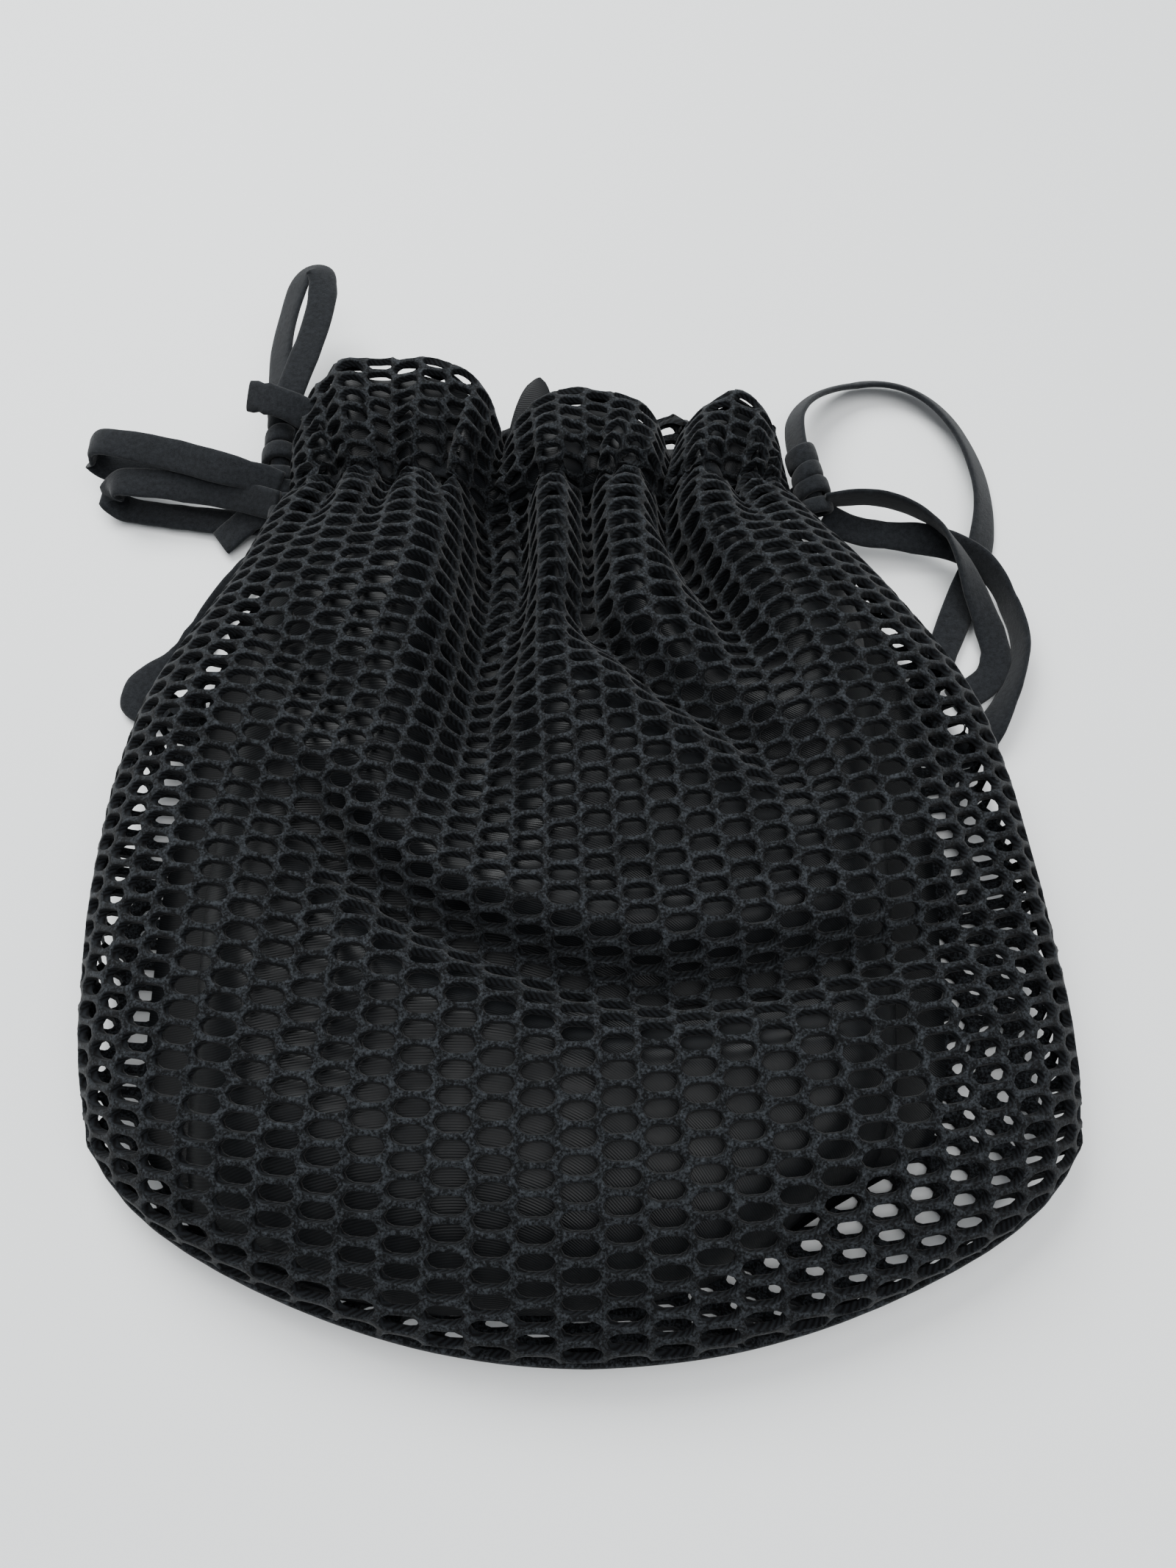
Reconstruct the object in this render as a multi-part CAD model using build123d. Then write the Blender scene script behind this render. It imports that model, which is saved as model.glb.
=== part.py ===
from build123d import *
from math import cos, pi, sin, tan, radians
import os

# Drawstring bag of thick honeycomb mesh with a cloth lining, lying on its back.
# Millimetres. +X to the bag's right, +Y towards the mouth, +Z up from the table.
# The origin is on the table, under the middle of the bag without its laces.

# ---- driving dimensions -------------------------------------------------------
BAG_LENGTH = 304.0        # bottom edge to the tip of the frill
BODY_HALF_WIDTH = 134.0   # half of the width at the belly
BAG_HEIGHT = 46.0         # top of the belly above the table
LEAN = 10.0               # sideways drift of the bag's middle line, bottom to mouth
NECK_HALF_WIDTH = 81.0    # half of the gathered width at the casing
MESH_THICKNESS = 3.0      # spacer mesh cloth
SEAM_HEIGHT = 12.0        # height of the side seam above the table
SEAM_THICKNESS = 2.0      # the two seam allowances pressed together
SEAM_WIDTH = 6.0          # how far the allowances reach into the bag
FLAT_SHARE = 0.58         # share of the width that rests on the table

CASING_DEPTH = 24.0       # lace channel, along Y
CASING_HEIGHT = 11.0      # lace channel, outside
CASING_WALL = 2.5         # gathered mesh of the channel
FRILL_LENGTH = 20.0       # frill beyond the channel, without its hem
HEM_LENGTH = 4.0          # folded edge of the frill
HEM_THICKNESS = 4.5       # two layers of mesh, rolled

LINING_THICKNESS = 1.0    # satin pouch
LINING_GAP = 0.6          # between the pouch and the mesh
LINING_HALF_WIDTH = 94.0  # half of the pouch's width at the shoulder
TAB_WIDTH = 16.0          # corner of the pouch that sticks out of the mouth

KNOT_BAND = 8.0           # flat top turn of a stopper knot
LACE_TUBE = 5.0           # round tube of about the lace's own section
KNOT_RADIUS = 6.5         # stopper knots
KNOT_WRAPS = 3

MOUTH_GAP = 0.4           # between the part of the bag that opens and the rest
HINGE_Y = 10.0            # the front folds open along this line

# ---- derived places ---------------------------------------------------------------
BOTTOM_Y = -BAG_LENGTH / 2
TOP_Y = BAG_LENGTH / 2
HEM_Y = TOP_Y - HEM_LENGTH
FRILL_Y = HEM_Y - FRILL_LENGTH
NECK_Y = FRILL_Y - CASING_DEPTH
BODY_LENGTH = NECK_Y - BOTTOM_Y
LEAN_START = BOTTOM_Y + 0.34 * BAG_LENGTH


def middle(y):
    """X of the bag's middle line at a station along Y."""
    return -LEAN * (y - LEAN_START) / (0.53 * BAG_LENGTH)


# Stations from the bottom edge to the neck: share of the body's length, share of
# the half width, share of the height. The first five follow the curved bottom edge.
BODY_STATIONS = [
    (0.000, 0.18, 0.40), (0.020, 0.44, 0.46), (0.055, 0.66, 0.56), (0.110, 0.84, 0.67),
    (0.165, 0.93, 0.76), (0.240, 0.98, 0.85), (0.320, 1.00, 0.93), (0.484, 1.00, 1.00),
    (0.640, 0.98, 1.00), (0.780, 0.92, 0.97), (0.900, 0.81, 0.90),
]
NECK_LIFT = 2.0           # the neck's underside clears the table by this
NECK_HEIGHT_SHARE = 0.83
NECK_HEIGHT = NECK_HEIGHT_SHARE * BAG_HEIGHT

# The same for the lining pouch, which is narrower and ends higher up.
LINING_STATIONS = [
    (0.075, 0.42, 0.56), (0.110, 0.68, 0.67), (0.165, 0.81, 0.76), (0.260, 0.90, 0.86),
    (0.484, 0.95, 1.00), (0.640, 0.98, 1.00), (0.780, 1.00, 0.97), (0.900, 0.95, 0.90),
]
LINING_NECK_SHARE = 0.80


def section(y, half_width, underside, seam, top):
    """Closed outline across the bag: flat underside, sloping flanks, domed top."""
    flat = FLAT_SHARE * half_width
    dome = [(half_width * cos(t), seam + (top - seam) * sin(t) ** 0.7)
            for t in [pi * k / 8 for k in range(9)]]
    dome[8] = (-half_width, seam)
    with BuildSketch(Plane(origin=(middle(y), y, 0), x_dir=(1, 0, 0), z_dir=(0, -1, 0))) as face:
        with BuildLine():
            Spline(*dome)
            Line(dome[8], (-flat, underside))
            Line((-flat, underside), (flat, underside))
            Line((flat, underside), dome[0])
        make_face()
    return face.sketch.face()


def pillow(stations, half_width, neck_half_width, inset, end_inset):
    """Solid pillow through the stations, every wall moved in by the inset."""
    faces = []
    for along, width_share, height_share in stations:
        y = BOTTOM_Y + along * BODY_LENGTH
        if along == stations[0][0]:
            y += end_inset
        faces.append(section(y, width_share * half_width - inset, inset, SEAM_HEIGHT,
                             height_share * BAG_HEIGHT - inset))
    faces.append(section(NECK_Y, neck_half_width - inset, NECK_LIFT + inset, SEAM_HEIGHT,
                         NECK_HEIGHT - inset))
    return loft(faces, ruled=True)


def slab(z_low, z_high, y_low=2 * BOTTOM_Y, y_high=2 * TOP_Y):
    """Block wider than the bag, between two heights and two stations."""
    size_y = y_high - y_low
    size_z = z_high - z_low
    block = Box(4 * BODY_HALF_WIDTH, size_y, size_z)
    return Pos(0, y_low + size_y / 2, z_low + size_z / 2) * block


def past_neck(solid, neck_half_width, inset):
    """The pillow's neck section carried on past the neck, to open a shell's end."""
    face = section(NECK_Y, neck_half_width - inset, NECK_LIFT + inset, SEAM_HEIGHT,
                   NECK_HEIGHT - inset)
    return solid + extrude(face, 5, dir=(0, 1, 0))


def split_shell(outer, inner, seam_core, names):
    """Cut a shell into a back, a front, the front's mouth half and the seam ring."""
    shell = outer - inner
    low = SEAM_HEIGHT - SEAM_THICKNESS / 2
    high = SEAM_HEIGHT + SEAM_THICKNESS / 2
    far = 4 * BAG_HEIGHT
    back_name, front_name, mouth_name, seam_name = names
    seam = (outer - seam_core) & slab(low, high)
    return {
        back_name: shell & slab(-far, low),
        front_name: shell & slab(high, far, 2 * BOTTOM_Y, HINGE_Y - MOUTH_GAP / 2),
        mouth_name: shell & slab(high + MOUTH_GAP, far, HINGE_Y + MOUTH_GAP / 2, 2 * TOP_Y),
        seam_name: seam,
    }


def body_panels():
    outer = pillow(BODY_STATIONS, BODY_HALF_WIDTH, NECK_HALF_WIDTH, 0, 0)
    inner = past_neck(pillow(BODY_STATIONS, BODY_HALF_WIDTH, NECK_HALF_WIDTH,
                             MESH_THICKNESS, MESH_THICKNESS),
                      NECK_HALF_WIDTH, MESH_THICKNESS)
    core = past_neck(pillow(BODY_STATIONS, BODY_HALF_WIDTH, NECK_HALF_WIDTH,
                            SEAM_WIDTH, SEAM_WIDTH),
                     NECK_HALF_WIDTH, SEAM_WIDTH)
    names = ("back_panel", "front_panel", "mouth_front_panel", "edge_seam")
    return split_shell(outer, inner, core, names)


def lining_pouch():
    depth = MESH_THICKNESS + LINING_GAP
    neck = LINING_NECK_SHARE * NECK_HALF_WIDTH + depth
    half = LINING_HALF_WIDTH + depth
    outer = pillow(LINING_STATIONS, half, neck, depth, 0)
    wall = depth + LINING_THICKNESS
    inner = past_neck(pillow(LINING_STATIONS, half, neck, wall, LINING_THICKNESS), neck, wall)
    core = past_neck(pillow(LINING_STATIONS, half, neck, depth + SEAM_WIDTH, SEAM_WIDTH),
                     neck, depth + SEAM_WIDTH)
    names = ("lining_back", "lining_front", "lining_mouth", "lining_seam")
    return split_shell(outer, inner, core, names)


# ---- casing, frill and hem ------------------------------------------------------------
NECK_LEFT = middle(NECK_Y) - NECK_HALF_WIDTH
NECK_RIGHT = middle(NECK_Y) + NECK_HALF_WIDTH
BACK_CASING_Z = NECK_LIFT + CASING_HEIGHT / 2
CASING_Y = NECK_Y + CASING_DEPTH / 2
FRONT_FOOT = NECK_LIFT + CASING_HEIGHT + MOUTH_GAP


ARCH_RISE = NECK_HEIGHT - FRONT_FOOT
ARCH_RADIUS = (NECK_HALF_WIDTH ** 2 + ARCH_RISE ** 2) / (2 * ARCH_RISE)


def arch(foot, inset):
    """Arc across the neck, in X and Z, moved in from the neck's front by the inset."""
    radius = ARCH_RADIUS - inset
    centre = NECK_HEIGHT - ARCH_RADIUS
    half = (radius ** 2 - (foot - centre) ** 2) ** 0.5
    x = middle(NECK_Y)
    return ThreePointArc((x - half, foot), (x, centre + radius), (x + half, foot))


def arch_band(outer_inset, inner_inset, foot):
    """Face between two arcs, each moved in from the neck's front."""
    with BuildSketch(Plane.XZ) as band:
        with BuildLine():
            upper = arch(foot, outer_inset)
            lower = arch(foot, inner_inset)
            Line(upper @ 0, lower @ 0)
            Line(upper @ 1, lower @ 1)
        make_face()
    return band.sketch


def casings():
    height = CASING_HEIGHT
    back = Box(2 * NECK_HALF_WIDTH, CASING_DEPTH, height)
    channel = Box(3 * NECK_HALF_WIDTH, CASING_DEPTH - 2 * CASING_WALL, height - 2 * CASING_WALL)
    back = Pos(middle(NECK_Y), CASING_Y, BACK_CASING_Z) * (back - channel)
    front = extrude(Plane(origin=(0, NECK_Y, 0)).location * arch_band(0, height, FRONT_FOOT),
                    CASING_DEPTH, dir=(0, 1, 0))
    depth = CASING_DEPTH - 2 * CASING_WALL
    start = Plane(origin=(0, NECK_Y + CASING_WALL, 0)).location
    hollow = arch_band(CASING_WALL, height - CASING_WALL, FRONT_FOOT - 1)
    front = front - extrude(start * hollow, depth, dir=(0, 1, 0))
    return {"back_casing": back, "front_casing": front}


# Waves across the neck: share of the neck's width from the left, height.
FRONT_WAVE = [(0.00, 18), (0.08, 33), (0.21, 41), (0.40, 31), (0.58, 38), (0.76, 29),
              (0.90, 36), (1.00, 18)]
BACK_WAVE = [(0.02, 12), (0.16, 5), (0.33, 9), (0.50, 5), (0.68, 9), (0.84, 5), (0.98, 12)]


def wave_strip(wave, y_low, length, thickness):
    """Strip of cloth that waves up and down across the neck."""
    points = [(NECK_LEFT + share * (NECK_RIGHT - NECK_LEFT), z) for share, z in wave]
    with BuildSketch(Plane.XZ) as face:
        with BuildLine():
            top = Spline(*points)
            under = Spline(*[(x, z - thickness) for x, z in points])
            Line(top @ 0, under @ 0)
            Line(top @ 1, under @ 1)
        make_face()
    return extrude(Plane(origin=(0, y_low, 0)).location * face.sketch, length, dir=(0, 1, 0))


def frills():
    front_wave = [(share, z * NECK_HEIGHT / 38) for share, z in FRONT_WAVE]
    return {
        "front_frill": wave_strip(front_wave, FRILL_Y, FRILL_LENGTH, MESH_THICKNESS),
        "front_hem": wave_strip(front_wave, HEM_Y, HEM_LENGTH, HEM_THICKNESS),
        "back_frill": wave_strip(BACK_WAVE, FRILL_Y, FRILL_LENGTH, MESH_THICKNESS),
        "back_hem": wave_strip(BACK_WAVE, HEM_Y, HEM_LENGTH, HEM_THICKNESS),
    }


def lining_tab():
    """Corner of the lining that comes out of the mouth under the front frill."""
    tab_top = NECK_HEIGHT - CASING_HEIGHT - LINING_GAP
    tab = Box(TAB_WIDTH, TOP_Y - NECK_Y, LINING_THICKNESS)
    return Pos(middle(NECK_Y), (NECK_Y + TOP_Y) / 2, tab_top - LINING_THICKNESS / 2) * tab


# ---- laces -------------------------------------------------------------------------------
FLOOR = LACE_TUBE / 2 + 0.1
CHANNEL_LINE = (CASING_Y - 1, BACK_CASING_Z)

ROUTES = {
    "left_upright_loop": [
        (-104.5, 149, 20), (-106, 164, 22), (-106, 180, 25), (-102, 195, 27.5), (-97, 207, 29),
        (-88, 207, 29), (-86, 194, 28), (-90, 177, 25), (-96, 161, 22), (-98.5, 150, 20)],
    "left_back_loop": [
        (-99, 116, 17.5), (-108, 119, 20), (-120, 122, 21), (-136, 127, 21), (-152, 131, 21),
        (-166, 133.5, 20.5), (-166.5, 132.5, 8.5), (-152, 130, 8.5), (-136, 126, 9),
        (-120, 121.5, 9.5), (-108, 118.5, 10), (-99, 116, 11)],
    "left_front_loop": [
        (-99, 109.5, 15.5), (-108, 113, 15), (-120, 116.5, 14.5), (-134, 119.5, 14.5),
        (-148, 121, 14.5), (-160, 122, 14), (-160.5, 119.5, 3), (-148, 117, 2.8),
        (-134, 115, 2.8), (-120, 113, 3), (-108, 111.5, 4.2), (-99, 110.5, 6)],
    "left_cut_tail": [
        (-99, 104.5, 11.5), (-107, 102.5, 8), (-114.5, 101, 4.4), (-121.5, 97, 2.7)],
    "left_long_strand": [
        (-97.5, 103.5, 5), (-103.5, 97, 3), (-111.5, 89, FLOOR), (-118.5, 78, FLOOR),
        (-124, 66, FLOOR), (-130, 54.5, FLOOR), (-142, 48, FLOOR), (-143.5, 37.5, FLOOR),
        (-131, 34, FLOOR), (-118, 36.5, FLOOR)],
    "right_long_loop": [
        (78.8, 128, 19), (80.5, 141, 17.5), (86, 155, 13), (97, 167, 7.5), (112, 174.5, 3.8),
        (128, 172, FLOOR), (140, 160, FLOOR), (147, 142, FLOOR), (148, 122, FLOOR),
        (144, 103, FLOOR), (136, 86, FLOOR), (128, 70.5, FLOOR), (121.5, 56, FLOOR),
        (114, 44, FLOOR), (110, 31, FLOOR), (117, 20, FLOOR), (128, 21.5, FLOOR),
        (136.5, 32, FLOOR), (145.5, 45, FLOOR), (151, 59, 2.8), (150, 74, 5.2),
        (144.5, 87.5, 8.8), (134, 97.5, 9.4), (121, 101.5, 9), (107.5, 103, 9),
        (96, 104.5, 9.5), (86.5, 108.8, 11)],
    "right_short_strand": [
        (86, 110.8, 17), (95, 114, 17.6), (106, 115, 17.2), (117, 111, 16.2),
        (126, 102, 15.4), (131, 91, 13.6), (135, 78, 9.2), (139.5, 66, 4.2),
        (141, 55, FLOOR), (134.5, 45.5, FLOOR), (124, 40, FLOOR)],
}


def arc_radii(points):
    """One radius for each inner point: as large as the two runs beside it allow."""
    radii = []
    for before, here, after in zip(points, points[1:], points[2:]):
        run_in = Vector(*here) - Vector(*before)
        run_out = Vector(*after) - Vector(*here)
        turn = radians(run_in.get_angle(run_out))
        radii.append(0.45 * min(run_in.length, run_out.length) / tan(turn / 2))
    return radii


def lace(name, points):
    """Round tube along straight runs joined by tangent arcs."""
    radii = arc_radii(points)
    path = FilletPolyline(*points, radius=radii)
    start = Plane(origin=path @ 0, z_dir=path % 0)
    tube = sweep(start * Circle(LACE_TUBE / 2), path=path)
    expected = pi * LACE_TUBE ** 2 / 4 * path.length
    print(f"{name}: length {path.length:.1f}, smallest radius {min(radii):.1f}, "
          f"volume / section x length {tube.volume / expected:.4f}")
    return tube


def stopper_knot(top, bottom):
    """Barrel knot: a core, round wraps, and a flat band round the upper end."""
    axis = Vector(*top) - Vector(*bottom)
    length = axis.length
    wrap_radius = LACE_TUBE / 2
    band = KNOT_BAND
    core = Pos(0, 0, length / 2) * Cylinder(KNOT_RADIUS - 1, length)
    cap = Pos(0, 0, length - band / 2) * fillet(Cylinder(KNOT_RADIUS, band).edges(), 1)
    pitch = (length - band - wrap_radius) / KNOT_WRAPS
    knot = core + cap
    for k in range(KNOT_WRAPS):
        height = wrap_radius + k * pitch
        knot += Pos(0, 0, height) * Torus(KNOT_RADIUS - wrap_radius, wrap_radius)
    return Plane(origin=bottom, z_dir=axis).location * knot


# The knots stand beside the two ends of the channel.
LEFT_KNOT_TOP = (NECK_LEFT - 11, CASING_Y + 35, 20)
LEFT_KNOT_BOTTOM = (NECK_LEFT - 10, CASING_Y + 6, 14)
RIGHT_KNOT_TOP = (NECK_RIGHT + 7.1, CASING_Y + 15, 19.5)
RIGHT_KNOT_BOTTOM = (NECK_RIGHT + 12.5, CASING_Y - 7, 14.5)
BOW_CENTRE = (NECK_LEFT - 7.7, CASING_Y - 4.8, 11)
BOW_SIZE = (9, 19.6, 17)


def laces():
    tubes = {name: lace(name, points) for name, points in ROUTES.items()}
    y, z = CHANNEL_LINE
    inner = middle(NECK_Y)
    left_run = [(NECK_LEFT - 5.5, y, z), (NECK_LEFT + 35.5, y + 0.5, z), (inner - 5.5, y, z)]
    right_run = [(NECK_RIGHT + 9.5, y + 2, z + 6.5), (NECK_RIGHT + 6, y + 0.8, z + 2.2),
                 (NECK_RIGHT + 1, y, z), (NECK_RIGHT - 36.5, y + 0.5, z), (inner + 4.5, y, z)]
    tubes["left_lace_run"] = lace("left_lace_run", left_run)
    tubes["right_lace_run"] = lace("right_lace_run", right_run)
    tubes["left_stopper_knot"] = stopper_knot(LEFT_KNOT_TOP, LEFT_KNOT_BOTTOM)
    tubes["right_stopper_knot"] = stopper_knot(RIGHT_KNOT_TOP, RIGHT_KNOT_BOTTOM)
    bow = fillet(Box(*BOW_SIZE).edges(), 3.5)
    tubes["left_bow_knot"] = Pos(*BOW_CENTRE) * bow
    return tubes


def front_lace_run():
    """The laces inside the front of the casing, arched with it."""
    path = Pos(0, CASING_Y, 0) * (Plane.XZ.location * arch(FRONT_FOOT + LACE_TUBE / 2, CASING_HEIGHT / 2))
    start = Plane(origin=path @ 0, z_dir=path % 0)
    return sweep(start * Circle(LACE_TUBE / 2), path=path)


def main():
    nodes = {}
    nodes.update(body_panels())
    nodes.update(lining_pouch())
    nodes.update(casings())
    nodes.update(frills())
    nodes["lining_tab"] = lining_tab()
    nodes["front_lace_run"] = front_lace_run()
    nodes.update(laces())
    os.makedirs("parts", exist_ok=True)
    for name, shape in nodes.items():
        box = shape.bounding_box()
        print(f"{name}: {box.min.X:.1f} {box.min.Y:.1f} {box.min.Z:.1f} to "
              f"{box.max.X:.1f} {box.max.Y:.1f} {box.max.Z:.1f}, solids {len(shape.solids())}")
        export_step(shape, f"parts/{name}.step")


main()
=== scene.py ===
# %% [markdown]
# # A drawstring bag of honeycomb mesh
# The bag lies on its back on a table. Its outer cloth is a thick spacer mesh: two knitted
# honeycomb faces held about three millimetres apart by fine threads. Inside is a satin pouch,
# and flat suede-like laces run through a casing below the frilled mouth.
# The lesson builds the folds of the cloth first as one smooth guide surface, flattens that
# surface on paper, and lets Geometry Nodes lay the honeycomb on it at its true size.

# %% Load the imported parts, which fix every size and place
import math

import bmesh
import bpy
import numpy as np
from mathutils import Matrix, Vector


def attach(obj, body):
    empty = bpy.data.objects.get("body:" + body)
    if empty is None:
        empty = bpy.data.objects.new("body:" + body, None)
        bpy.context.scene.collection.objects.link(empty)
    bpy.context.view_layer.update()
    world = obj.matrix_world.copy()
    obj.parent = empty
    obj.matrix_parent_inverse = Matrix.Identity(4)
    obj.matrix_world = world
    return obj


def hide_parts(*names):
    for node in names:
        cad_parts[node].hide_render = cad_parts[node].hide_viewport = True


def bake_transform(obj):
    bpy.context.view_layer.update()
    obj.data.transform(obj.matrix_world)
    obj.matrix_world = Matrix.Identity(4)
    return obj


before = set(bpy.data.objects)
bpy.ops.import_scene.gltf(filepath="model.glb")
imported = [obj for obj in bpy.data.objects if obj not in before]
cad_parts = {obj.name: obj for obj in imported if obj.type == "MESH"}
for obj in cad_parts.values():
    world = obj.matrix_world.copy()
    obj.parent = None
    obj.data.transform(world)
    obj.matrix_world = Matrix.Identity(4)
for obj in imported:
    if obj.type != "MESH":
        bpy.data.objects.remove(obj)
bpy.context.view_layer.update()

MM = 0.001


def mm(points):
    """A list of places in millimetres, in metres."""
    return [tuple(c * MM for c in p) for p in points]


# %% [markdown]
# ## Camera, floor and light
# The bag is seen from the front and above, as it is on a table in a room with soft daylight.
# A wide, near camera makes the lower edge a little larger than the mouth, so the distance
# matters as much as the angle. Large area lights and a pale world give soft, weak shadows.

# %% Place the camera
CAMERA_ELEVATION = math.radians(63)
CAMERA_DISTANCE = 352 * MM
CAMERA_TARGET = Vector((6, 4, 15)) * MM
LENS = 27.0
SENSOR = 36.0

camera_data = bpy.data.cameras.new("camera")
camera_data.lens = LENS
camera_data.sensor_width = SENSOR
camera = bpy.data.objects.new("camera", camera_data)
bpy.context.scene.collection.objects.link(camera)
camera.location = CAMERA_TARGET + CAMERA_DISTANCE * Vector(
    (0, -math.cos(CAMERA_ELEVATION), math.sin(CAMERA_ELEVATION)))
camera.rotation_euler = (math.pi / 2 - CAMERA_ELEVATION, 0, 0)
bpy.context.scene.camera = camera
print("camera at", [round(c, 3) for c in camera.location])

# %% [markdown]
# ## Small helpers
# Every piece ends as a plain mesh at the origin with a node material. A few short functions
# do that in one place: they link an object, make a mesh from rows of places, turn its faces
# outwards, and add and join shader nodes. It reads better than the same calls repeated.

# %% Helpers that put a mesh in the scene


def add_object(name, mesh):
    """Link a mesh or curve to the scene as an object at the origin."""
    piece = bpy.data.objects.new(name, mesh)
    bpy.context.scene.collection.objects.link(piece)
    return piece


def mesh_piece(name, vertices, faces):
    """A mesh object made of vertex rows and faces."""
    mesh = bpy.data.meshes.new(name)
    mesh.from_pydata([tuple(v) for v in vertices], [], [tuple(f) for f in faces])
    mesh.validate()
    mesh.shade_smooth()
    return add_object(name, mesh)


def face_outwards(piece):
    """Turn all faces of a closed piece to point outwards."""
    fix = bmesh.new()
    fix.from_mesh(piece.data)
    bmesh.ops.recalc_face_normals(fix, faces=fix.faces)
    fix.to_mesh(piece.data)
    fix.free()


# %% Helpers for shader nodes


def new_material(name, roughness=0.8):
    """A material with its Principled shader."""
    material = bpy.data.materials.new(name)
    material.use_nodes = True
    shader = material.node_tree.nodes["Principled BSDF"]
    shader.inputs["Roughness"].default_value = roughness
    return material, shader


def add_node(tree, kind, values=(), **settings):
    """Add a node, set its plain settings and its unlinked inputs."""
    node = tree.nodes.new(kind)
    for key, value in settings.items():
        setattr(node, key, value)
    for key, value in dict(values).items():
        node.inputs[key].default_value = value
    return node


def wire(tree, source, target):
    tree.links.new(source, target)


# %% Floor and lights
FLOOR_SIZE = 6.0
FLOOR_COLOUR = (0.86, 0.875, 0.875, 1)

floor_mesh = bpy.data.meshes.new("table")
half = FLOOR_SIZE / 2
floor_mesh.from_pydata([(-half, -half, 0), (half, -half, 0), (half, half, 0), (-half, half, 0)],
                       [], [(0, 1, 2, 3)])
floor = add_object("table", floor_mesh)
floor_material, floor_shader = new_material("pale_table", 0.55)
floor_shader.inputs["Base Color"].default_value = FLOOR_COLOUR
floor_mesh.materials.append(floor_material)


def area_light(name, place, aim, size, power, colour=(1, 1, 1)):
    """A square light at a place, turned to its aim."""
    light = bpy.data.lights.new(name, "AREA")
    light.shape = "SQUARE"
    light.size = size
    light.energy = power
    light.color = colour
    lamp = add_object(name, light)
    lamp.location = place
    lamp.rotation_euler = (Vector(aim) - Vector(place)).to_track_quat("-Z", "Y").to_euler()
    return lamp


WINDOW_PLACE, WINDOW_SIZE, WINDOW_POWER = (-0.55, 1.05, 1.35), 1.1, 44
WINDOW_COLOUR = (0.98, 1.0, 1.0)
CEILING_PLACE, CEILING_SIZE, CEILING_POWER = (0.35, -0.25, 1.7), 1.5, 25
ROOM_COLOUR, ROOM_STRENGTH = (0.93, 0.96, 1.0, 1), 0.58

area_light("window", WINDOW_PLACE, (0, 0, 0), WINDOW_SIZE, WINDOW_POWER, WINDOW_COLOUR)
area_light("ceiling", CEILING_PLACE, (0, 0, 0), CEILING_SIZE, CEILING_POWER)
world = bpy.data.worlds.new("room")
bpy.context.scene.world = world
world.use_nodes = True
background = world.node_tree.nodes["Background"]
background.inputs["Color"].default_value = ROOM_COLOUR
background.inputs["Strength"].default_value = ROOM_STRENGTH
print("floor and lights:", WINDOW_POWER, "W window,", CEILING_POWER, "W ceiling")

# %% [markdown]
# ## Shared shader groups
# Knitted yarn, suede and satin all end in loose fibre, which makes small light and dark flecks
# and a rough surface. A weave gives satin its fine slanting lines as well. Each effect is a
# node group with its sizes as inputs, so that each material can set its own.

# %% Shader group: loose fibre


def shader_group(name, inputs, outputs):
    """An empty shader node group with named float inputs and outputs."""
    group = bpy.data.node_groups.new(name, "ShaderNodeTree")
    for label, default in inputs:
        socket = group.interface.new_socket(label, in_out="INPUT", socket_type="NodeSocketFloat")
        socket.default_value = default
    group.interface.new_socket("Coordinates", in_out="INPUT", socket_type="NodeSocketVector")
    for label in outputs:
        group.interface.new_socket(label, in_out="OUTPUT", socket_type="NodeSocketFloat")
    return group, group.nodes.new("NodeGroupInput"), group.nodes.new("NodeGroupOutput")


def loose_fibre_group():
    """Flecks: fine noise for single fibres on coarser noise for tufts. Outputs 0 to 1."""
    group, given, result = shader_group(
        "loose_fibre", [("Fibre Scale", 2600.0), ("Tuft Scale", 420.0), ("Tuft Share", 0.4)],
        ["Flecks", "Height"])
    fibre = add_node(group, "ShaderNodeTexNoise", {"Detail": 3.0, "Roughness": 0.65})
    tuft = add_node(group, "ShaderNodeTexNoise", {"Detail": 2.0, "Roughness": 0.6})
    for noise, label in ((fibre, "Fibre Scale"), (tuft, "Tuft Scale")):
        wire(group, given.outputs["Coordinates"], noise.inputs["Vector"])
        wire(group, given.outputs[label], noise.inputs["Scale"])
    mix = add_node(group, "ShaderNodeMix", data_type="FLOAT")
    wire(group, given.outputs["Tuft Share"], mix.inputs["Factor"])
    wire(group, fibre.outputs["Fac"], mix.inputs["A"])
    wire(group, tuft.outputs["Fac"], mix.inputs["B"])
    spread = add_node(group, "ShaderNodeMapRange", {"From Min": 0.32, "From Max": 0.68})
    wire(group, mix.outputs["Result"], spread.inputs["Value"])
    wire(group, spread.outputs["Result"], result.inputs["Flecks"])
    wire(group, mix.outputs["Result"], result.inputs["Height"])
    return group


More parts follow.
